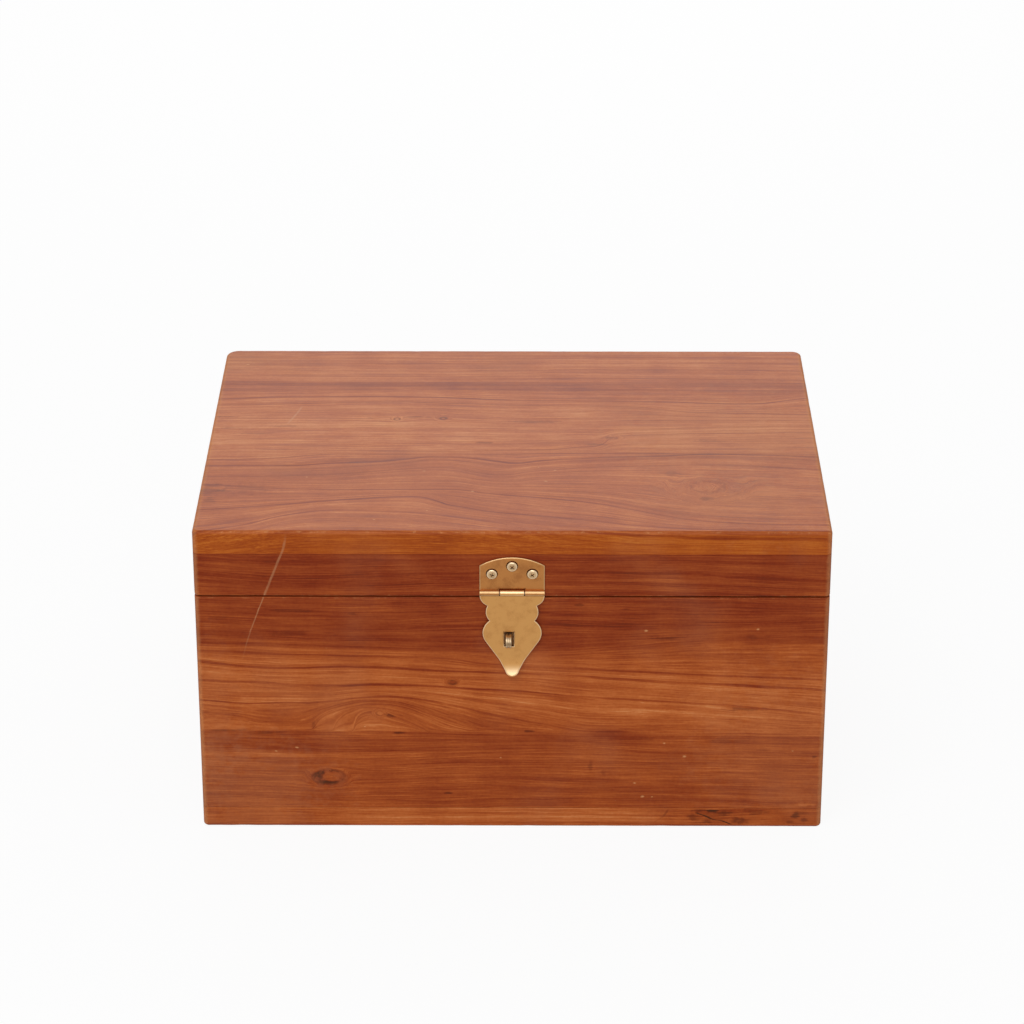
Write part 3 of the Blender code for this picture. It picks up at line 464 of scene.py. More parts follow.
# how marks fade: in mm for growth lines and scratches, in shares of their size for knots and stains
markForm = {"core": 0.3, "strip": 0.3, "spanEnds": (5, 7), "underEnds": (8, 12), "underTop": (0.2, -0.6),
            "underFoot": 0.7, "knotRagged": 0.9, "bend": 0.8, "eye": (1.15, 0.7), "rim": (1.25, 0.8),
            "rimGaps": (0.34, 0.60), "rimLeast": 0.3, "stainRagged": 1.5, "stain": (1.15, 0.3),
            "scratchSway": 0.7, "scratch": (1.7, 0.5), "scratchFace": (1.5, 0.8), "scratchGain": 1.6}


def distance(x, y):
    return (x * x + y * y).root()


def middleOf(line):
    return sum(across for along, across in line["points"]) / len(line["points"])


def flowField(tree, along, across, lines):        # a height that stays the same along each growth line
    heights = [along.curve(lines[0]["points"])]
    levels = [middleOf(lines[0])]
    field = levels[0]
    for line in lines[1:]:
        heights.append(along.curve(line["points"]).most(heights[-1] + wood["lineGap"]))
        levels.append(middleOf(line))
        low, high = heights[-2:]
        rise = {"Value": across, "From Min": low, "From Max": high, "To Max": levels[-1] - levels[-2]}
        field = tree.node("ShaderNodeMapRange", None, rise) + field
    return field, heights, levels


def toneCurve(lines, levels):
    points = []
    for line, level in zip(lines, levels):
        if isinstance(line["tone"], tuple):        # another strip starts here
            under, over = line["tone"]
            points += [(level - markForm["strip"], under), (level + markForm["strip"], over)]
        else:
            points.append((level, line["tone"]))
    return points


def within(mark, along, first, last, soft):
    start, stop = soft
    return mark * along.fade(first - start, first + start) * along.fade(last + stop, last - stop)


def lineMarks(line, along, gap):        # gap is the height over the growth line
    mark = abs(gap).fade(line["width"], line["width"] * markForm["core"]) * line["dark"]
    if "span" in line:
        mark = within(mark, along, *line["span"], markForm["spanEnds"])
    if "under" in line:        # darker wood under a part of the line
        first, last, reach, shade = line["under"]
        below = gap.fade(*markForm["underTop"]) * gap.fade(-reach, -reach * markForm["underFoot"]) * shade
        mark = within(below, along, first, last, markForm["underEnds"]) + mark
    return mark


def knotMarks(board, along, across, field, patches):        # rings that bend the field, broken rims and eyes
    rims, eyes, calm = 0.0, 0.0, 1.0
    for knot in board["knots"]:
        da = (along - knot["at"][0]) / knot["size"][0]
        db = (across - knot["at"][1]) / knot["size"][1]
        ragged = (patches - 0.5) * markForm["knotRagged"]
        radius = distance(da, db) + ragged
        rings = radius * knot["size"][1] + knot["at"][1]
        bend = radius.fade(knot["swirl"], markForm["bend"])
        field = field + (rings - field) * bend
        calm = (1 - bend) * calm
        moveA, moveB, wide, high = knot["eye"]
        eye = (distance((da - moveA) / wide, (db - moveB) / high) + ragged).fade(*markForm["eye"])
        broken = patches.fade(*markForm["rimGaps"]) * (1 - markForm["rimLeast"]) + markForm["rimLeast"]
        rims = radius.fade(*markForm["rim"]) * (1 - eye) * broken * knot["rim"] + rims
        eyes = eye * knot["core"] + eyes
    return field, rims, eyes, calm


def stainMarks(stains, along, across, patches):        # ragged patches
    marks = 0.0
    for x, z, reach, height, strength in stains:
        radius = distance((along - x) / reach, (across - z) / height)
        radius = radius + (patches - 0.5) * markForm["stainRagged"]
        marks = radius.fade(*markForm["stain"]) * strength + marks
    return marks


wearAndHighlight = {"spread": 4.6, "sideSpread": 0.4, "outer": (0.75, -0.35), "outerShare": 0.45, "rim": (0.45, -0.5),
        "rimShare": 0.2, "sides": (3.2, 1.0), "sideShare": 0.30}


def rubbedEdges(axes, rub):        # pale arrises, partly wear and partly a painted highlight along the upright corners; most at the box's sides and least along the saw cut
    x = boxHalf["X"] - abs(axes["X"])
    y = boxHalf["Y"] - abs(axes["Y"])
    z = (boxTop - axes["Z"]).least(axes["Z"])
    outer = x.least(y).most(x.most(y).least(z))
    sides = x.most(y.least(z))
    rim = x.least(y).most(abs(axes["Z"] - parting) - rimGap)
    spread = (rub - 0.5) * wearAndHighlight["spread"]
    worn = (outer + spread).fade(*wearAndHighlight["outer"]) * wearAndHighlight["outerShare"]
    worn = worn + (rim + spread).fade(*wearAndHighlight["rim"]) * wearAndHighlight["rimShare"]
    return (sides + spread * wearAndHighlight["sideSpread"]).fade(*wearAndHighlight["sides"]) * wearAndHighlight["sideShare"] + worn


def scratchMarks(scratches, axes, rub):
    marks = 0.0
    for scratch in scratches:
        run = axes[scratch["run"]]
        axis, face = scratch["side"]
        gap = abs(axes["X"] - run.curve(scratch["points"]) + (rub - 0.5) * markForm["scratchSway"])
        line = gap.fade(*(scratch["width"] * share for share in markForm["scratch"]))
        line = line * abs(axes[axis] - face).fade(*markForm["scratchFace"])
        line = line * run.fade(*scratch["start"]) * run.fade(*scratch["stop"])
        line = line * (rub * markForm["scratchGain"]).least(1.0)
        marks = line * scratch["strength"] + marks
    return marks


speckForm = {"stretch": 0.5, "cells": 0.07, "kept": (0.55, 0.57), "reach": (0.027, 0.008), "scatter": 0.37,
             "size": 0.42, "step": 0.16, "drawnOut": 0.6, "edge": (1.1, 0.2)}


def speckMarks(tree, board, along, across, depth):        # pale chips and a finer scatter
    drawnOut = tree.node("ShaderNodeCombineXYZ", None, {0: along * speckForm["stretch"], 1: across, 2: depth})
    cells = tree.node("ShaderNodeTexVoronoi", None, {"Vector": drawnOut, "Scale": speckForm["cells"]})
    kept = tree.node("ShaderNodeSeparateColor", None, {0: cells.other("Color")}).fade(*speckForm["kept"])
    specks = cells.fade(*speckForm["reach"]) * kept * speckForm["scatter"]
    for i, spot in enumerate(board["specks"]):
        size = speckForm["size"] + speckForm["step"] * (i % 3)
        away = distance((along - spot[0]) * speckForm["drawnOut"] / size, (across - spot[1]) / size)
        specks = away.fade(*speckForm["edge"]) + specks
    return specks


def woodMaterial(name, board):
    material, shader, tree = newMaterial(name)
    place, axes = placeInMm(tree)
    along, across, through = (axes[axis] for axis in board["axes"])
    depth = (through - board["face"]) * board["inward"]
    places = (along, across, depth)
    seed = board["seed"]
    wander = streaks(tree, "wander", places, seed)
    ripple = streaks(tree, "ripple", places, seed)
    bent = across + depth * board["slope"] + wander * board["wave"] + ripple * wood["ripple"]
    field, heights, levels = flowField(tree, along, bent, board["lines"])
    patches = clouds(tree, "patches", place)
    field, rims, eyes, calm = knotMarks(board, along, bent, field, patches)

    # growth lines and rings, broad and fine streaks, fibres and pores
    flow = (along, field, depth)
    parts = {kind: streaks(tree, kind, flow, seed) for kind in ("broad", "fine", "fibre", "pores", "flecks")}
    fine = parts["fine"]
    gain, least = wood["strength"]
    strength = streaks(tree, "strength", places, seed) * gain + least
    late = 1 - ((field + parts["broad"] * wood["ringSway"]) / wood["ringGap"]).fract()
    marks = late * late * strength * wood["ringTone"] + parts["pores"] * wood["poreTone"]
    pullAlong, pullAcross = wood["ragged"]
    # ragged places for the marks, which put them late in the shader's order, where fewer values wait
    nearAlong, nearAcross = along + fine * pullAlong, across + fine * pullAcross
    for line, height in zip(board["lines"], heights):
        if "dark" in line:
            gap = bent - height + fine * wood["lineRagged"]
            marks = lineMarks(line, nearAlong, gap) * strength * calm + marks
    half = boxHalf[board["axes"][0]]
    parts["endGrain"] = abs(along).fade(*(half - reach for reach in wood["endReach"]))
    tone = field.curve(toneCurve(board["lines"], levels))
    parts["cloud"] = clouds(tree, "cloud", place) - 0.5
    tone = weigh(parts, wood["tone"], tone) - marks + eyes
    tone = tone + (clouds(tree, "mottle", place) - 0.5) * wood["mottle"]
    stains = stainMarks(board["stains"], nearAlong, nearAcross, patches + fine * wood["stainRagged"])
    shade = rims - stains + scratchMarks(board["cracks"], axes, patches)
    tone = tone - shade * wood["shadeTone"]
    if "alongTone" in board:
        tone = tone + along.curve(board["alongTone"])
    darkest, palest = wood["palette"][0][0], wood["palette"][-1][0]
    stops = [((at - darkest) / (palest - darkest), colour) for at, colour in wood["palette"]]
    colour = tree.node("ShaderNodeValToRGB", {"stops": stops}, {0: (tone - darkest) / (palest - darkest)})
    if "edge" in board:
        colour = colour.tint(board["edge"], depth.fade(*wood["edgeDepth"]), "MULTIPLY")
    smoke = ((shade - wood["smokeFrom"]) * wood["smokeGain"]).most(0.0).least(wood["smokeMost"])
    colour = colour.tint(wood["smoke"], smoke)

    # wear and dust, with a painted highlight on the arrises and a painted reflection in some dust marks
    rub = clouds(tree, "rub", place)
    # rubbed arrises; the band along the upright corners is a painted highlight
    worn = rubbedEdges(axes, rub)
    specks = speckMarks(tree, board, nearAlong, nearAcross, depth)
    # dust, and the painted reflection haze of the top's dust marks
    dust = clouds(tree, "dust", place).fade(*wood["dustFade"]) * wood["dustShare"]
    dust = dust + stainMarks(board["dust"], nearAlong, nearAcross, patches)
    colour = colour.tint(wood["dust"], dust).tint(wood["worn"], worn)
    colour = colour.tint(wood["speck"], specks * wood["speckShare"])
    if board["scratches"]:
        colour = colour.tint(wood["scratch"], scratchMarks(board["scratches"], axes, rub))

    # unvarnished wood inside and on the sawn rims
    bare = depth.fade(*(board["thick"] - reach for reach in wood["bareDepth"]))
    bare = bare.most(abs(axes["Z"] - parting).fade(*(rimGap + reach for reach in wood["bareRim"])))
    dry = tree.mix(wood["softLight"], wood["bare"], colour, "SOFT_LIGHT")
    colour.tint(dry, bare * wood["bareShare"]).into(shader.inputs["Base Color"])
    parts.update(marks=marks, shade=shade, worn=worn, specks=specks, dust=dust, bare=bare)
    weigh(parts, wood["rough"], wood["roughness"]).into(shader.inputs["Roughness"])
    relief = weigh(parts, wood["relief"])
    relief = tree.node("ShaderNodeBump", None,
                       {"Height": relief, "Distance": wood["bumpReach"], "Strength": wood["bump"]})
    relief.into(shader.inputs["Normal"])
    shader.inputs["IOR"].default_value = wood["ior"]
    return material


walls = {"front": frontWall, "back": backWall, "left": leftWall, "right": rightWall, "top": topPanel,
         "bottom": bottomPanel}
teak = {side: woodMaterial(side + "Teak", board) for side, board in walls.items()}
print("wood finishes:", len(teak))


# Metal

metals = {        # colour, patina, colour of rubbed edges and rounds (also their painted highlight), share of patina, roughness
    "leafBrass": ((0.45, 0.190, 0.056), (0.27, 0.10, 0.030), (0.58, 0.38, 0.19), 0.55, 0.42),
    "flapBrass": ((0.56, 0.285, 0.092), (0.38, 0.165, 0.048), (0.78, 0.57, 0.34), 0.45, 0.40),
    "stapleBrass": ((0.34, 0.23, 0.13), (0.15, 0.085, 0.045), (0.50, 0.38, 0.24), 0.70, 0.44),
    # painted shade: this near-black brass colours the staple plate, so that the flap's slot reads dark
    "shadeDarkBrass": ((0.17, 0.075, 0.028), (0.09, 0.035, 0.014), (0.34, 0.18, 0.07), 0.60, 0.50),
    "hingeBrass": ((0.48, 0.235, 0.075), (0.26, 0.11, 0.035), (0.74, 0.46, 0.19), 0.50, 0.36),
    "screwSteel": ((0.54, 0.36, 0.19), (0.30, 0.17, 0.085), (0.72, 0.55, 0.36), 0.55, 0.28),
    # painted shade: the pins are made dark so that the narrow gaps between knuckles read as shaded lines
    "shadeDarkPinSteel": ((0.16, 0.10, 0.06), (0.07, 0.04, 0.025), (0.30, 0.21, 0.13), 0.60, 0.45),
}
metalForm = {"rubTurn": (0.0, 0.35, 0.0), "rubScale": (7.0, 0.6, 0.35), "stain": (0.44, 0.72),
             "stainGrain": 0.35, "rubbed": (0.01, 0.07), "rubbedShare": 0.85,
             "rubbedGrain": (0.8, 0.5), "bump": 0.5, "bumpReach": 0.04 * mm,
             "rough": {"grain": 0.16, "rubs": 0.20, "stain": 0.08, "rubbed": -0.06},
             "relief": {"rubs": 0.6, "grain": 0.5}}


def metalMaterial(name, colour, dark, bright, share, rough):
    material, shader, tree = newMaterial(name)
    place, axes = placeInMm(tree)
    patina = clouds(tree, "patina", place)
    speckle = clouds(tree, "metalGrain", place)
    turned = tree.node("ShaderNodeMapping", None, {"Vector": place, "Rotation": metalForm["rubTurn"],
                                                   "Scale": metalForm["rubScale"]})
    rubs = tree.node("ShaderNodeTexNoise", None, {"Vector": turned, "Scale": 1.0, "Detail": 2.0})
    parts = {"grain": speckle - 0.5, "rubs": rubs - 0.5}
    stain = (patina + parts["grain"] * metalForm["stainGrain"]).fade(*metalForm["stain"])
    colour = tree.mix(stain * share, (*colour, 1.0), (*dark, 1.0))
    # painted highlight, as well as rubbing: rounds, edges and sloped faces are tinted brighter by the way
    # they face
    turn = tree.node("ShaderNodeSeparateXYZ", None, {0: tree.node("ShaderNodeTexCoord", out="Normal")})
    rubbed = 1 - abs(turn).most(abs(turn.other("Y"))).most(abs(turn.other("Z")))        # 0 on the flats
    gain, least = metalForm["rubbedGrain"]
    rubbed = rubbed.fade(*metalForm["rubbed"]) * (speckle * gain + least).least(1.0)
    colour.tint((*bright, 1.0), rubbed * metalForm["rubbedShare"]).into(shader.inputs["Base Color"])
    parts.update(stain=stain, rubbed=rubbed)
    weigh(parts, metalForm["rough"], rough).into(shader.inputs["Roughness"])
    relief = weigh(parts, metalForm["relief"])
    relief = tree.node("ShaderNodeBump", None,
                       {"Height": relief, "Distance": metalForm["bumpReach"], "Strength": metalForm["bump"]})
    relief.into(shader.inputs["Normal"])
    shader.inputs["Metallic"].default_value = 1.0
    return material


metal = {name: metalMaterial(name, *finish) for name, finish in metals.items()}
print("metal finishes:", len(metal))


# Meshes

shading = {"weld": 0.002 * mm, "sharp": 32.0, "sides": 48, "arcSteps": 14, "slit": 6,
           "quarter": (0, 30, 60, 90), "plateSteps": 3, "plateLeast": 2.2}
facingFront = Matrix.Rotation(math.radians(90), 4, "X")        # stands a plate that is drawn flat


def newPiece(name, data):
    piece = bpy.data.objects.new(name, data)
    bpy.context.scene.collection.objects.link(piece)
    return piece


def evaluatedMesh(piece):
    bpy.context.view_layer.update()
    mesh = bpy.data.meshes.new_from_object(piece.evaluated_get(bpy.context.evaluated_depsgraph_get()))
    mesh.name = piece.name
    return mesh


def meshFrom(name, bm):
    bmesh.ops.recalc_face_normals(bm, faces=bm.faces)
    mesh = bpy.data.meshes.new(name)
    bm.to_mesh(mesh)
    bm.free()
    return mesh


@contextmanager
def reshaped(mesh):        # a mesh that is opened for edits and put back
    bm = bmesh.new()
    bm.from_mesh(mesh)
    yield bm
    bm.to_mesh(mesh)
    bm.free()


def cutAt(bm, at, normal, **sides):
    return bmesh.ops.bisect_plane(bm, geom=bm.verts[:] + bm.edges[:] + bm.faces[:], dist=shading["weld"],
                                  plane_co=at, plane_no=normal, **sides)


def weld(mesh):
    with reshaped(mesh) as bm:
        bmesh.ops.remove_doubles(bm, verts=bm.verts, dist=shading["weld"])


def boxMesh(name, low, high):
    low, high = Vector(low), Vector(high)
    bm = bmesh.new()
    place = Matrix.Translation((low + high) / 2) @ Matrix.Diagonal((*(high - low), 1.0))
    bmesh.ops.create_cube(bm, size=1.0, matrix=place)
    return meshFrom(name, bm)


def turnedMesh(name, profile, facing):        # (radius, height) points turned about a line through the origin
    bm = bmesh.new()
    sides = shading["sides"]
    rings = []
    for radius, height in profile:
        if radius == 0.0:
            rings.append([bm.verts.new((0, 0, height))] * sides)
        else:
            turns = [math.tau * i / sides for i in range(sides)]
            rings.append([bm.verts.new((radius * math.cos(a), radius * math.sin(a), height)) for a in turns])
    for lower, upper in zip(rings, rings[1:]):
        for i in range(sides):
            corners = dict.fromkeys((lower[i], lower[i - 1], upper[i - 1], upper[i]))
            bm.faces.new(corners)
    turn = Vector((0, 0, 1)).rotation_difference(Vector(facing)).to_matrix().to_4x4()
    bmesh.ops.transform(bm, matrix=turn, verts=bm.verts)
    return meshFrom(name, bm)


def rodMesh(name, radius, length, ease=0.0):        # along X, with its ends eased by a quarter round
    half = length / 2
    turns = [math.radians(a) for a in shading["quarter"]] if ease else [0.0]
    end = [(radius - ease + ease * math.cos(a), half - ease + ease * math.sin(a)) for a in turns]
    profile = [(0.0, -half)] + [(r, -h) for r, h in reversed(end)] + end + [(0.0, half)]
    return turnedMesh(name, profile, (1, 0, 0))


def plateMesh(name, outlines, thickness, edge):        # a plate with rounded edges; holes follow the outline
    curve = bpy.data.curves.new(name, "CURVE")
    curve.dimensions = "2D"
    curve.fill_mode = "BOTH"
    stretch = max(1.0, shading["plateLeast"] * edge / thickness)        # wide edges need a thicker plate
    curve.extrude = thickness / 2 * stretch - edge
    curve.bevel_depth = edge
    curve.bevel_resolution = shading["plateSteps"]
    curve.offset = -edge
    for outline in outlines:
        spline = curve.splines.new("POLY")
        spline.points.add(len(outline) - 1)
        for point, (x, y) in zip(spline.points, outline):
            point.co = (x, y, 0.0, 1.0)
        spline.use_cyclic_u = True
    holder = newPiece(name, curve)
    mesh = evaluatedMesh(holder)
    bpy.data.objects.remove(holder, do_unlink=True)
    mesh.transform(Matrix.Diagonal((1.0, 1.0, 1.0 / stretch, 1.0)))
    weld(mesh)
    return mesh


def sweptMesh(name, stations, section):        # (sideways, outwards) points carried along stations
    bm = bmesh.new()
    rings = [[bm.verts.new(place + side * s + out * o) for s, o in section] for place, side, out in stations]
    for lower, upper in zip(rings, rings[1:]):
        for i in range(len(section)):
            bm.faces.new((lower[i - 1], lower[i], upper[i], upper[i - 1]))
    bm.faces.new(rings[0])
    bm.faces.new(rings[-1])
    return meshFrom(name, bm)


def arcThrough(start, middle, end):        # points of the circle through three points, without the last
    (ax, ay), (bx, by), (cx, cy) = start, middle, end
    a2, b2, c2 = ax * ax + ay * ay, bx * bx + by * by, cx * cx + cy * cy
    scale = 2 * (ax * (by - cy) + bx * (cy - ay) + cx * (ay - by))
    x = (a2 * (by - cy) + b2 * (cy - ay) + c2 * (ay - by)) / scale
    y = (a2 * (cx - bx) + b2 * (ax - cx) + c2 * (bx - ax)) / scale
    radius = math.hypot(ax - x, ay - y)
    first = math.atan2(ay - y, ax - x)
    toMiddle = (math.atan2(by - y, bx - x) - first) % math.tau
    sweep = (math.atan2(cy - y, cx - x) - first) % math.tau
    if toMiddle > sweep:
        sweep -= math.tau
    turns = [first + sweep * i / shading["arcSteps"] for i in range(shading["arcSteps"])]
    return [(x + radius * math.cos(a), y + radius * math.sin(a)) for a in turns]


def combine(piece, mesh, operation, at=(0, 0, 0)):
    tool = newPiece("tool", mesh)
    tool.location = at
    change = piece.modifiers.new(operation, "BOOLEAN")
    change.operation = operation
    change.object = tool


def flatten(piece):        # modifiers and their tools become one plain mesh
    tools = [m.object for m in piece.modifiers if m.type == "BOOLEAN"]
    mesh = evaluatedMesh(piece)
    piece.modifiers.clear()
    piece.data = mesh
    for tool in tools:
        bpy.data.objects.remove(tool, do_unlink=True)
    weld(mesh)


def shadeEvenly(piece):        # smooth round edges, flat faces
    piece.data.shade_smooth()
    piece.data.set_sharp_from_angle(angle=math.radians(shading["sharp"]))
    even = piece.modifiers.new("even", "WEIGHTED_NORMAL")
    even.keep_sharp = True
    mesh = evaluatedMesh(piece)
    piece.modifiers.clear()
    piece.data = mesh


def mendFaces(mesh):        # doubled slivers and slits that a boolean can leave
    with reshaped(mesh) as bm:
        twins = {}
        for face in bm.faces:
            twins.setdefault(frozenset(face.verts), []).append(face)
        doubled = [face for same in twins.values() if len(same) > 1 for face in same]
        bmesh.ops.delete(bm, geom=doubled, context="FACES")
        bmesh.ops.delete(bm, geom=[e for e in bm.edges if e.is_wire], context="EDGES")
        bmesh.ops.holes_fill(bm, edges=[e for e in bm.edges if e.is_boundary], sides=shading["slit"])


def dress(piece, material, body, slot, *nodes):        # finish, body, a slot that is not used, and the nodes that it stands for
    mendFaces(piece.data)
    shadeEvenly(piece)
    piece.data.materials.clear()
    piece.data.materials.append(material)
    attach(piece, body)
    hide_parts(*nodes)


# Screws

screws = {
    "hasp": {"nodes": ["hasp_screw_left", "hasp_screw_centre", "hasp_screw_right"], "body": "lid",
             "facing": (0, -1, 0), "head": 2.7, "crown": 0.7, "shank": 1.2, "length": 10.0, "seed": 4},
    "staple": {"nodes": ["staple_screw_left", "staple_screw_right"], "body": "base",
               "facing": (0, -1, 0), "head": 1.6, "crown": 0.0, "shank": 0.9, "length": 8.0, "seed": 7},
    "hingeLower": {"nodes": [f"hinge_{end}_lower_screw_{i}" for end in ends for i in "ab"], "body": "base",
                   "facing": (0, 0, 1), "head": 1.9, "crown": 0.0, "shank": 1.0, "length": 9.0, "seed": 2},
    "hingeUpper": {"nodes": [f"hinge_{end}_upper_screw_{i}" for end in ends for i in "ab"], "body": "lid",
                   "facing": (0, 0, -1), "head": 1.9, "crown": 0.0, "shank": 1.0, "length": 9.0, "seed": 9},
}
screwForm = {"recessReach": 0.62, "recessWidth": 0.30, "recessDepth": 0.55, "fit": 0.2, "mouth": 2.0,
             "leastCrown": 0.05, "threadPitch": 1.1, "threadRadius": 0.16, "pointShare": 2.0,
             "tipShare": 0.08, "threadShare": 0.95, "threadSteps": 14, "sides": 36}


def rimPoint(node, kind):        # the middle of a screw head's rim
    low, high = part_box(node)
    facing = Vector(kind["facing"])
    middle = (low + high) / 2
    reach = abs((high - low).dot(facing)) / 2
    return middle + facing * (reach - kind["crown"] * mm)


def drill(piece, name, nodes=None, fit=screwForm["fit"], lift=0.0):        # countersunk holes for a row
    kind = screws[name]
    fit, head, shank, length = (size * mm for size in (fit, kind["head"], kind["shank"], kind["length"]))
    mouth = screwForm["mouth"] * mm
    up = Vector((0, 0, lift * mm))
    profile = [(0.0, mouth), (head + fit, mouth), (head + fit, 0.0), (shank + fit, shank - head),
               (shank + fit, -length - fit), (0.0, -length - fit)]
    for node in nodes or kind["nodes"]:
        combine(piece, turnedMesh("hole", profile, kind["facing"]), "DIFFERENCE", rimPoint(node, kind) + up)


def screwTree():
    tree = bpy.data.node_groups.new("screwRow", "GeometryNodeTree")
    inputs = {}
    kinds = {"Points": "Geometry", "Head Radius": "Float", "Crown": "Float", "Shank Radius": "Float",
             "Length": "Float", "Facing": "Vector", "Seed": "Int", "Material": "Material"}
    for name, kind in kinds.items():
        socket = tree.interface.new_socket(name, in_out="INPUT", socket_type="NodeSocket" + kind)
        inputs[name] = socket.identifier
    tree.interface.new_socket("Screws", in_out="OUTPUT", socket_type="NodeSocketGeometry")
    start = Wire(tree)
    given = start.node("NodeGroupInput")
    head, crown, shank, length = (given.other(n) for n in ("Head Radius", "Crown", "Shank Radius", "Length"))

    def vector(x, y, z):
        return start.node("ShaderNodeCombineXYZ", None, {0: x, 1: y, 2: z})

    def moved(geometry, move=(0, 0, 0), scale=(1, 1, 1), turn=(0, 0, 0)):
        return start.node("GeometryNodeTransform", None, {"Geometry": geometry, "Translation": move,
                                                          "Rotation": turn, "Scale": scale})

    def cone(sides, top, bottom, depth):
        return start.node("GeometryNodeMeshCone", None, {"Vertices": sides, "Radius Top": top,
                                                         "Radius Bottom": bottom, "Depth": depth})

    sides = screwForm["sides"]
    ball = {"Segments": sides, "Rings": sides // 2, "Radius": 1.0}
    dome = moved(start.node("GeometryNodeMeshUVSphere", None, ball), scale=vector(head, head, crown))
    sink = moved(cone(sides, head, shank, head - shank), vector(0.0, 0.0, shank - head))
    point = shank * screwForm["pointShare"]
    rod = {"Vertices": sides, "Radius": shank, "Depth": length - point}
    shaft = moved(start.node("GeometryNodeMeshCylinder", None, rod), vector(0.0, 0.0, (point - length) / 2))
    tip = moved(cone(sides, shank, shank * screwForm["tipShare"], point), vector(0.0, 0.0, 0.0 - length))
    body = start.node("GeometryNodeMeshBoolean", {"operation": "UNION", "solver": "EXACT"},
                      {"Mesh 2": [dome, sink, shaft, tip]})
    arm = moved(cone(4, math.sqrt(2), 0.5, 2.0), turn=(0, 0, math.radians(45)))        # of the cross recess
    reach, width, depth = (head * screwForm[size] for size in ("recessReach", "recessWidth", "recessDepth"))
    floor = vector(0.0, 0.0, crown - depth)
    arms = [moved(arm, floor, vector(reach, width / 2, depth)),
            moved(arm, floor, vector(width / 2, reach, depth))]
    body = start.node("GeometryNodeMeshBoolean", {"operation": "DIFFERENCE", "solver": "EXACT"},
                      {"Mesh 1": body, "Mesh 2": arms})
    threaded = (length - point - head) * screwForm["threadShare"]
    turns = threaded / (screwForm["threadPitch"] * mm)
    thread = start.node("GeometryNodeCurveSpiral", None, {
        "Resolution": screwForm["threadSteps"], "Rotations": turns, "Start Radius": shank,
        "End Radius": shank, "Height": threaded})
    ridge = start.node("GeometryNodeCurvePrimitiveCircle", None,
                       {"Resolution": 3, "Radius": screwForm["threadRadius"] * mm})
    thread = start.node("GeometryNodeCurveToMesh", None,
                        {"Curve": thread, "Profile Curve": ridge, "Fill Caps": True})
    thread = moved(thread, vector(0.0, 0.0, point - length))
    screw = start.node("GeometryNodeJoinGeometry", None, {0: [body, thread]})
    facing = start.node("FunctionNodeAlignRotationToVector", {"axis": "Z"}, {"Vector": given.other("Facing")})
    row = start.node("GeometryNodeInstanceOnPoints", None,
                     {"Points": given, "Instance": screw, "Rotation": facing})
    spin = start.node("FunctionNodeRandomValue", None, {3: math.tau, "Seed": given.other("Seed")}, out=1)
    row = start.node("GeometryNodeRotateInstances", None,
                     {"Instances": row, "Rotation": vector(0.0, 0.0, spin)})
    row = start.node("GeometryNodeRealizeInstances", None, {0: row})
    row = start.node("GeometryNodeSetMaterial", None, {0: row, "Material": given.other("Material")})
    start.node("NodeGroupOutput", None, {0: row})
    return tree, inputs


def makeScrews():
    tree, inputs = screwTree()
    for name, kind in screws.items():
        points = bpy.data.meshes.new(name)
        points.from_pydata([rimPoint(node, kind) for node in kind["nodes"]], [], [])
        piece = newPiece(name + "Screws", points)
        row = piece.modifiers.new("screws", "NODES")
        row.node_group = tree
        sizes = {"Head Radius": kind["head"] * mm, "Crown": max(kind["crown"], screwForm["leastCrown"]) * mm,
                 "Shank Radius": kind["shank"] * mm, "Length": kind["length"] * mm, "Facing": kind["facing"],
                 "Seed": kind["seed"], "Material": metal["screwSteel"]}
        for key, value in sizes.items():
            row[inputs[key]] = value
        flatten(piece)
        dress(piece, metal["screwSteel"], kind["body"], "plated_steel", *kind["nodes"])


makeScrews()
print("screws made")


# Boards

boards = {
    "corner": {(-1, -1): 3.0 * mm, (1, -1): 3.0 * mm, (-1, 1): 7.0 * mm, (1, 1): 5.0 * mm},
    "round": 1.8 * mm, "rim": 0.5 * mm, "joint": 0.18 * mm, "segments": 6, "glue": 0.1 * mm,
    "overrun": 2.0 * mm,
    "slice": 4.0 * mm, "sliceFrom": 20 * mm,        # cuts that let the arrises take dents
    "dent": 0.30 * mm, "dentReach": 2.6 * mm, "dentPitch": 0.16, "stopAngle": 102.0,
    "knocks": ((1.0, 0.18, 1.2), (3.1, 0.2, 0.5)),        # fineness, least noise that counts, weight
    "seed": 3.0, "seedStep": 7.3, "flat": 0.5,
}
hinge = {"thickness": 1.2 * mm, "fit": 0.2 * mm, "gap": 0.3 * mm, "knuckles": 5, "barrel": 2.2 * mm,
         "pin": 1.1 * mm, "play": 0.06 * mm, "ease": 0.25 * mm, "edge": 0.2 * mm, "dome": 0.5}


def easeEdges(bm, edges, radius):
    bmesh.ops.bevel(bm, geom=edges, offset=radius, offset_type="OFFSET", segments=boards["segments"],
                    profile=0.5, affect="EDGES")


def roundedBox(name, low, high, corners, loops, allRound=True):        # upright corners first
    bm = bmesh.new()
    bm.from_mesh(boxMesh(name, low, high))
    near = shading["weld"]
    for (x, y), radius in corners.items():
        at = Vector((high.x if x > 0 else low.x, high.y if y > 0 else low.y))
        easeEdges(bm, [e for e in bm.edges if all((v.co.xy - at).length < near for v in e.verts)], radius)
    for side, radius in loops.items():
        level = high.z if side > 0 else low.z
        edges = [e for e in bm.edges if all(abs(v.co.z - level) < near for v in e.verts)]
        if not allRound:        # a side board's ends stay square in their rebates
            edges = [e for e in edges if abs(e.verts[0].co.y - e.verts[1].co.y) > near]
        easeEdges(bm, edges, radius)
    bmesh.ops.triangulate(bm, faces=bm.faces)
    return newPiece(name, meshFrom(name, bm))


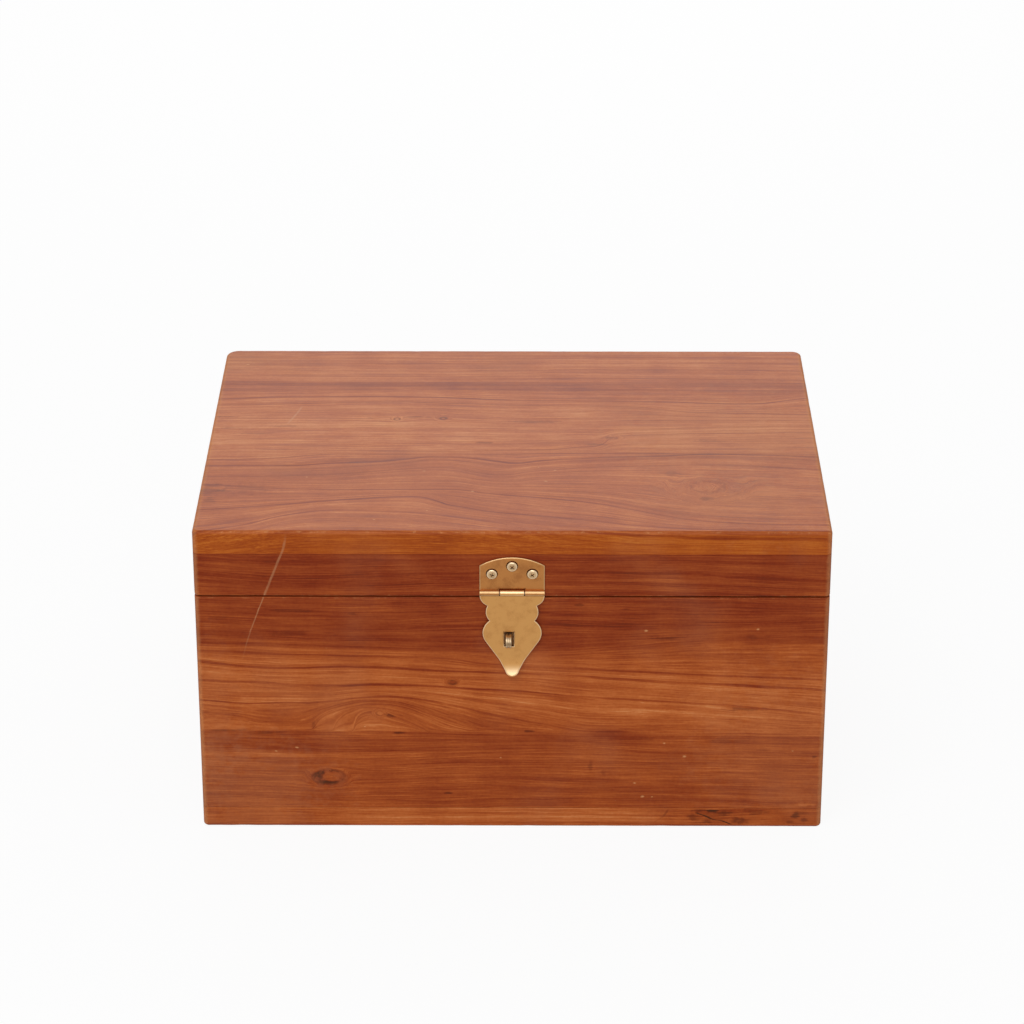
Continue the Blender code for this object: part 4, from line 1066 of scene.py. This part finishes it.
def slicePiece(piece):
    with reshaped(piece.data) as bm:
        bmesh.ops.dissolve_limit(bm, angle_limit=math.radians(boards["flat"]), verts=bm.verts, edges=bm.edges)
        for axis in range(3):
            across = Vector((0, 0, 0))
            across[axis] = 1.0
            places = [v.co[axis] for v in bm.verts]
            low, size = min(places), max(places) - min(places)
            count = int(size / boards["slice"]) if size > boards["sliceFrom"] else 1
            for i in range(1, count):
                cutAt(bm, across * (low + size * i / count), across)


def dentArrises(mesh, seed):        # small knocks along the outside arrises, always inwards
    normals = [vert.normal.copy() for vert in mesh.vertices]
    for vert, normal in zip(mesh.vertices, normals):
        p = vert.co / mm
        toRim = max(abs(p.z - parting) - rimGap, 0.0)
        gaps = sorted((boxHalf["X"] - abs(p.x), boxHalf["Y"] - abs(p.y), min(boxTop - p.z, p.z, toRim)))
        near = 1.0 - gaps[1] * mm / boards["dentReach"]
        if near > 0:
            spot = p * boards["dentPitch"] + Vector((seed, 0, 0))
            knock = sum(max(noise.noise(spot * pitch) - least, 0.0) * weight
                        for pitch, least, weight in boards["knocks"])
            vert.co -= normal * min(knock, 1.0) * near * boards["dent"]


def finishBoard(piece, node, body, side, seed):
    flatten(piece)
    slicePiece(piece)
    dentArrises(piece.data, seed)
    dress(piece, teak[side], body, "teak", node)


def rebate(piece, node):        # room for a side board's end, open at the box's side, above and below
    low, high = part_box(node)
    glue, past = boards["glue"], boards["overrun"]
    left, right = (past, 0.0) if low.x < 0 else (0.0, past)
    room = (low - Vector((glue + left, glue, glue + past)), high + Vector((glue + right, glue, glue + past)))
    combine(piece, boxMesh("rebate", *room), "DIFFERENCE")


def bevelBack(piece, side):        # the slope on which the open lid comes to rest
    half = math.radians(boards["stopAngle"] / 2)
    reach = (boxHalf["Y"] * mm - lidAxis.y) / math.cos(half) + boards["overrun"]
    long = cadHigh.x + boards["overrun"]
    low, high = sorted((0.0, -side * reach))
    wedge = boxMesh("wedge", (-long, 0.0, low), (long, reach, high))
    wedge.transform(Matrix.Rotation(side * half, 4, "X"))
    combine(piece, wedge, "DIFFERENCE", lidAxis)


def letInHinges(piece, level, side):        # gains for the leaves and hollows for the barrels
    for end in ends:
        low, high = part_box(f"hinge_{end}_{level}_leaf")
        at = Vector(((low.x + high.x) / 2, lidAxis.y, lidAxis.z))
        half = (high.x - low.x) / 2 + hinge["fit"]
        floor = side * (rimGap * mm + hinge["thickness"] + hinge["fit"])
        under, over = sorted((floor, -side * boards["overrun"]))
        gain = boxMesh("gain", (-half, low.y - lidAxis.y - hinge["fit"], under), (half, 0.0, over))
        combine(piece, gain, "DIFFERENCE", at)
        combine(piece, rodMesh("hollow", hinge["barrel"] + hinge["gap"], 2 * half), "DIFFERENCE", at)


def letInStaple(piece):        # holes for the staple's legs
    low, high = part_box("staple_loop")
    fit = hinge["fit"]
    middle = (low.z + high.z) / 2
    inner = (high.z - low.z) / 2 - staple["thickness"]
    for side in (-1, 1):
        z = sorted((middle + side * (inner - fit), middle + side * (inner + staple["thickness"] + fit)))
        hole = boxMesh("hole", (low.x - fit, low.y, z[0]), (high.x + fit, high.y + fit, z[1]))
        combine(piece, hole, "DIFFERENCE")


def makeWalls(prefix, suffix, body, rim, level):
    seed = boards["seed"] + rim
    for side, outer in (("front", -1), ("back", 1), ("left", 0), ("right", 0)):
        node = f"{prefix}_{side}_{suffix}"
        corners = {(x, outer): boards["corner"][x, outer] for x in (-1, 1)} if outer else {}
        loops = {rim: boards["rim"], -rim: boards["joint"]}
        name = prefix + side.capitalize() + suffix.capitalize()
        piece = roundedBox(name, *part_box(node), corners, loops, bool(outer))
        if outer:
            for end in ends:
                rebate(piece, f"{prefix}_{end}_{suffix}")
        if side == "back":
            bevelBack(piece, -rim)
            letInHinges(piece, level, -rim)
            drill(piece, "hinge" + level.capitalize())
        if node == "lid_front_rail":
            drill(piece, "hasp")
        if node == "base_front_board":
            drill(piece, "staple")
            letInStaple(piece)
        finishBoard(piece, node, body, side, seed)
        seed += boards["seedStep"]


def makePanel(name, node, body, side, outer, seed):
    loops = {outer: boards["round"], -outer: boards["joint"]}
    finishBoard(roundedBox(name, *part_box(node), boards["corner"], loops), node, body, side, seed)


# Staple

staple = {"thickness": 1.2 * mm, "edge": 0.25 * mm, "groove": (0.55 * mm, 0.3 * mm, 0.25 * mm), "arc": 28,
          "plateEdge": 0.2 * mm}


def stapleSection(width):        # a flat strip with round edges and a groove along its outer face
    half, thick, edge = width / 2, staple["thickness"] / 2, staple["edge"]
    brink, floor, depth = staple["groove"]
    section = []
    for x, y, first in ((1, -1, -90), (1, 1, 0), (-1, 1, 90), (-1, -1, 180)):
        turns = [math.radians(first + step) for step in shading["quarter"]]
        middleX, middleY = x * (half - edge), y * (thick - edge)
        section += [(middleX + edge * math.cos(a), middleY + edge * math.sin(a)) for a in turns]
        if (x, y) == (1, 1):
            section += [(brink, thick), (floor, thick - depth), (-floor, thick - depth), (-brink, thick)]
    return section


def makeStaple():
    low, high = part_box("staple_loop")
    radius = (high.z - low.z) / 2
    bend = Vector(((low.x + high.x) / 2, low.y + radius, (low.z + high.z) / 2))
    sideways = Vector((1, 0, 0))
    stations = []
    for i in range(-1, staple["arc"] + 2):
        turn = math.pi * (0.5 - min(max(i / staple["arc"], 0.0), 1.0))
        out = Vector((0, -math.cos(turn), math.sin(turn)))
        place = bend + out * (radius - staple["thickness"] / 2)
        if i in (-1, staple["arc"] + 1):
            place.y = high.y
        stations.append((place, sideways, out))
    loop = newPiece("stapleStrip", sweptMesh("stapleStrip", stations, stapleSection(high.x - low.x)))
    dress(loop, metal["stapleBrass"], "base", "brass", "staple_loop")

    low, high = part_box("staple_plate")
    middle = (low + high) / 2
    end = (high.z - low.z) / 2
    straight = (high.x - low.x) / 2 - end
    outline = arcThrough((straight, -end), (straight + end, 0.0), (straight, end)) + [(straight, end)]
    outline += [(-x, -y) for x, y in outline]
    mesh = plateMesh("staplePlate", [outline], high.y - low.y, staple["plateEdge"])
    mesh.transform(Matrix.Translation(middle) @ facingFront)
    plate = newPiece("staplePlate", mesh)
    drill(plate, "staple")
    letInStaple(plate)
    flatten(plate)
    # the plate's dark brass is painted shade for the slot in front of it
    dress(plate, metal["shadeDarkBrass"], "base", "brass", "staple_plate")


# Hasp

hasp = {
    "sheet": 0.9 * mm, "edge": 0.85 * mm, "barrel": 1.5 * mm, "pin": 0.75 * mm, "play": 0.06 * mm,
    "gap": 0.45 * mm, "holeFit": 0.45, "holeLift": 0.35, "slotShift": 0.2 * mm, "tongue": 0.6,
    "knuckle": 12.5 * mm, "ease": 0.2 * mm, "shoulder": 15.3 * mm, "standoff": 1.2 * mm,
    "curl": 10.0 * mm, "curlRise": 2.6 * mm, "curlCuts": 16, "slot": (5.0 * mm, 8.4 * mm),
}
# the flap's outline, as (half width, drop from the barrel's axis) in mm; each middle point lies on an arc
flapLine = {"corner": (16.9, 1.8), "ear": (15.5, 5.3), "upperCusp": (12.8, 7.3), "smallLobe": (13.7, 11.65),
            "lowerCusp": (11.8, 16.0), "largeLobe": (15.4, 23.5), "flankTop": (13.85, 28.1),
            "flankFoot": (6.7, 38.7), "neckBow": (5.1, 41.7), "neck": (3.6, 44.6), "tip": (0.0, 47.4)}


def makeHaspLeaf():
    low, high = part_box("hasp_leaf")
    half = high.x
    clear = hasp["barrel"] + hasp["gap"]
    tongue = hasp["knuckle"] / 2 + hasp["gap"]
    right, crown, left = (half, hasp["shoulder"]), (0.0, high.z - haspAxis.z), (-half, hasp["shoulder"])
    outline = [(half, 0.0)] + arcThrough(right, crown, left) + [left]
    outline += [(-half, 0.0), (-tongue, 0.0), (-tongue, clear), (tongue, clear), (tongue, 0.0)]
    mesh = plateMesh("haspFixedLeaf", [outline], hasp["sheet"], hasp["edge"])
    mesh.transform(Matrix.Translation((0, high.y - hasp["sheet"] / 2, haspAxis.z)) @ facingFront)
    leaf = newPiece("haspFixedLeaf", mesh)
    long = half - tongue
    for side in ends.values():
        at = haspAxis + Vector((side * (tongue + long / 2), 0, 0))
        combine(leaf, rodMesh("knuckle", hasp["barrel"], long, hasp["ease"]), "UNION", at)
    combine(leaf, rodMesh("bore", hasp["pin"] + hasp["play"], 3 * half), "DIFFERENCE", haspAxis)
    drill(leaf, "hasp", fit=hasp["holeFit"], lift=hasp["holeLift"])
    flatten(leaf)
    dress(leaf, metal["leafBrass"], "lid", "brass", "hasp_leaf")


def curlTip(mesh, tip):        # turns the flap's tip outwards along a parabola
    start = tip + hasp["curl"]
    with reshaped(mesh) as bm:
        for i in range(hasp["curlCuts"]):
            cutAt(bm, (0, start - hasp["curl"] * i / hasp["curlCuts"], 0), (0, 1, 0))
        for vert in bm.verts:
            vert.co.z += hasp["curlRise"] * (max(start - vert.co.y, 0.0) / hasp["curl"]) ** 2


def squareTop(mesh, level):        # the flap's upper edge, close under the barrel, isn't rounded
    with reshaped(mesh) as bm:
        cut = cutAt(bm, (0, level, 0), (0, 1, 0), clear_outer=True)
        bmesh.ops.edgeloop_fill(bm, edges=[e for e in cut["geom_cut"] if isinstance(e, bmesh.types.BMEdge)])


def flapOutline():
    line = {name: (x * mm, -drop * mm) for name, (x, drop) in flapLine.items()}
    right = [(line["corner"][0], 0.0)]        # up to the barrel, where the sheet is cut square
    for start, middle, end in (("corner", "ear", "upperCusp"), ("upperCusp", "smallLobe", "lowerCusp"),
                               ("lowerCusp", "largeLobe", "flankTop")):
        right += arcThrough(line[start], line[middle], line[end])
    right += [line["flankTop"]] + arcThrough(line["flankFoot"], line["neckBow"], line["neck"])
    neck = line["neck"]
    otherNeck = (-neck[0], neck[1])
    outline = right + arcThrough(neck, line["tip"], otherNeck) + [otherNeck]
    outline += [(-x, y) for x, y in reversed(right)]
    return outline[::-1], line["tip"][1]


def makeFlap():
    outline, tip = flapOutline()
    low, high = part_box("staple_loop")
    slotX, slotZ = (low.x + high.x) / 2 + hasp["slotShift"], (low.z + high.z) / 2 - haspAxis.z
    width, height = hasp["slot"]
    corners = ((-1, -1), (-1, 1), (1, 1), (1, -1))
    slot = [(slotX + x * width / 2, slotZ + y * height / 2) for x, y in corners]
    mesh = plateMesh("haspHangingFlap", [outline, slot], hasp["sheet"], hasp["edge"])
    squareTop(mesh, -hasp["barrel"] - hasp["play"])
    curlTip(mesh, tip)
    back = -boxHalf["Y"] * mm - hasp["standoff"]
    mesh.transform(Matrix.Translation((0, back - hasp["sheet"] / 2, haspAxis.z)) @ facingFront)
    flap = newPiece("haspHangingFlap", mesh)
    half = hasp["knuckle"] / 2
    tongueLow = (-half, back - hasp["sheet"] * hasp["tongue"], haspAxis.z - 2 * hasp["barrel"])
    combine(flap, boxMesh("tongue", tongueLow, (half, back, haspAxis.z)), "UNION")
    combine(flap, rodMesh("knuckle", hasp["barrel"], hasp["knuckle"], hasp["ease"]), "UNION", haspAxis)
    combine(flap, rodMesh("bore", hasp["pin"] + hasp["play"], 4 * half), "DIFFERENCE", haspAxis)
    flatten(flap)
    dress(flap, metal["flapBrass"], "hasp_flap", "brass", "hasp_flap")


def makePin(name, node, body, radius):        # a pin with domed ends
    low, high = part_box(node)
    piece = newPiece(name, rodMesh(name, radius, high.x - low.x, radius * hinge["dome"]))
    piece.data.transform(Matrix.Translation((low + high) / 2))
    # the pin's dark steel is painted shade for the knuckle gaps
    dress(piece, metal["shadeDarkPinSteel"], body, "plated_steel", node)


# Rear hinges

def makeHingeLeaf(end, level, side, body):
    node = f"hinge_{end}_{level}_leaf"
    name = "hinge" + end.capitalize() + level.capitalize() + "Leaf"
    low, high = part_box(node)
    at = Vector(((low.x + high.x) / 2, lidAxis.y, lidAxis.z))
    half = (high.x - low.x) / 2
    pitch = 2 * half / hinge["knuckles"]
    clear = hinge["barrel"] + hinge["gap"]
    own = []
    brink = []        # the edge along the barrel, from left to right
    for i in range(hinge["knuckles"]):
        middle = -half + pitch * (i + 0.5)
        mine = (i % 2 == 1) == (side > 0)
        if mine:
            own.append(middle)
        reach = pitch / 2 + hinge["gap"] / 2 * (-1 if mine else 1)
        edges = (max(middle - reach, -half), min(middle + reach, half))
        brink += [(x, 0.0 if mine else -clear) for x in edges]
    far = low.y - lidAxis.y
    outline = [(-half, far)] + brink + [(half, far)]
    mesh = plateMesh(name, [outline[::-1]], hinge["thickness"], hinge["edge"])
    mesh.transform(Matrix.Translation(at + Vector((0, 0, side * (rimGap * mm + hinge["thickness"] / 2)))))
    leaf = newPiece(name, mesh)
    for middle in own:
        knuckle = rodMesh("knuckle", hinge["barrel"], pitch - hinge["gap"], hinge["ease"])
        combine(leaf, knuckle, "UNION", at + Vector((middle, 0, 0)))
    combine(leaf, rodMesh("bore", hinge["pin"] + hinge["play"], 3 * half), "DIFFERENCE", at)
    drill(leaf, "hinge" + level.capitalize(), [f"hinge_{end}_{level}_screw_{i}" for i in "ab"])
    flatten(leaf)
    dress(leaf, metal["hingeBrass"], body, "brass", node)


makeWalls("base", "board", "base", 1, "lower")
makeWalls("lid", "rail", "lid", -1, "upper")
makePanel("lidTopPanel", "lid_top_panel", "lid", "top", 1, 17.0)
makePanel("baseBottomPanel", "base_bottom_panel", "base", "bottom", -1, 29.0)
print("boards made")
makeStaple()
makeHaspLeaf()
makeFlap()
makePin("haspPin", "hasp_pin", "lid", hasp["pin"])
print("hasp and staple made")
for end in ends:
    makeHingeLeaf(end, "lower", -1, "base")
    makeHingeLeaf(end, "upper", 1, "lid")
    makePin("hinge" + end.capitalize() + "Pin", f"hinge_{end}_pin", "base", hinge["pin"])
print("hinges made")


# Stage, light and camera

studio = {"ambient": 0.50, "floor": (0.90, 0.90, 0.90, 1.0), "floorRough": 0.9, "whiteShare": 0.92,
          "floorReach": 6.0, "floorDrop": 0.1 * mm, "aim": (0, 0, 0.09),
          "lamps": {"key": {"at": (-0.7, -1.5, 1.9), "power": 16.0, "size": 1.3},
                    "front": {"at": (0.25, -2.4, 1.5), "power": 12.0, "size": 1.2},
                    "back": {"at": (0.0, 1.5, 0.95), "power": 7.0, "size": 1.2}}}
view = {"lens": 125.48, "sensor": 36.0, "at": (0.0069, -1.7818, 0.9580), "down": 24.96, "turn": 0.24}


def raysThatSee(tree):        # 1 for camera, glossy and transmission rays
    path = tree.node("ShaderNodeLightPath", out="Is Camera Ray")
    return path.most(path.other("Is Glossy Ray")).most(path.other("Is Transmission Ray"))


def makeFloor():
    bm = bmesh.new()
    bmesh.ops.create_grid(bm, x_segments=1, y_segments=1, size=studio["floorReach"],
                          matrix=Matrix.Translation((0, 0, cadLow.z - studio["floorDrop"])))
    floor = newPiece("floor", meshFrom("floor", bm))
    material, shader, tree = newMaterial("paleFloor")
    shader.inputs["Base Color"].default_value = studio["floor"]
    shader.inputs["Roughness"].default_value = studio["floorRough"]
    shader.inputs["Specular IOR Level"].default_value = 0.0
    white = tree.node("ShaderNodeEmission")
    mixed = tree.node("ShaderNodeMixShader", None, {0: raysThatSee(tree) * studio["whiteShare"],
                                                    1: Wire(tree.tree, shader.outputs[0]), 2: white})
    mixed.into(tree.tree.nodes["Material Output"].inputs["Surface"])
    floor.data.materials.append(material)


def makeLight():
    world = bpy.data.worlds.new("studio")
    world.use_nodes = True
    bpy.context.scene.world = world
    level = raysThatSee(Wire(world.node_tree)) * (1.0 - studio["ambient"]) + studio["ambient"]
    background = world.node_tree.nodes["Background"]
    background.inputs["Color"].default_value = (1.0, 1.0, 1.0, 1.0)
    level.into(background.inputs["Strength"])
    for name, lamp in studio["lamps"].items():
        light = bpy.data.lights.new(name, "AREA")
        light.energy = lamp["power"]
        light.size = lamp["size"]
        holder = newPiece(name, light)
        holder.location = lamp["at"]
        aim = Vector(studio["aim"]) - holder.location
        holder.rotation_euler = aim.to_track_quat("-Z", "Y").to_euler()


def makeCamera():
    camera = newPiece("camera", bpy.data.cameras.new("camera"))
    camera.data.lens = view["lens"]
    camera.data.sensor_width = view["sensor"]
    camera.location = view["at"]
    camera.rotation_euler = (math.radians(90 - view["down"]), 0.0, math.radians(view["turn"]))
    bpy.context.scene.camera = camera


bpy.context.scene.view_settings.view_transform = "Standard"
makeFloor()
makeLight()
makeCamera()
print("studio set")
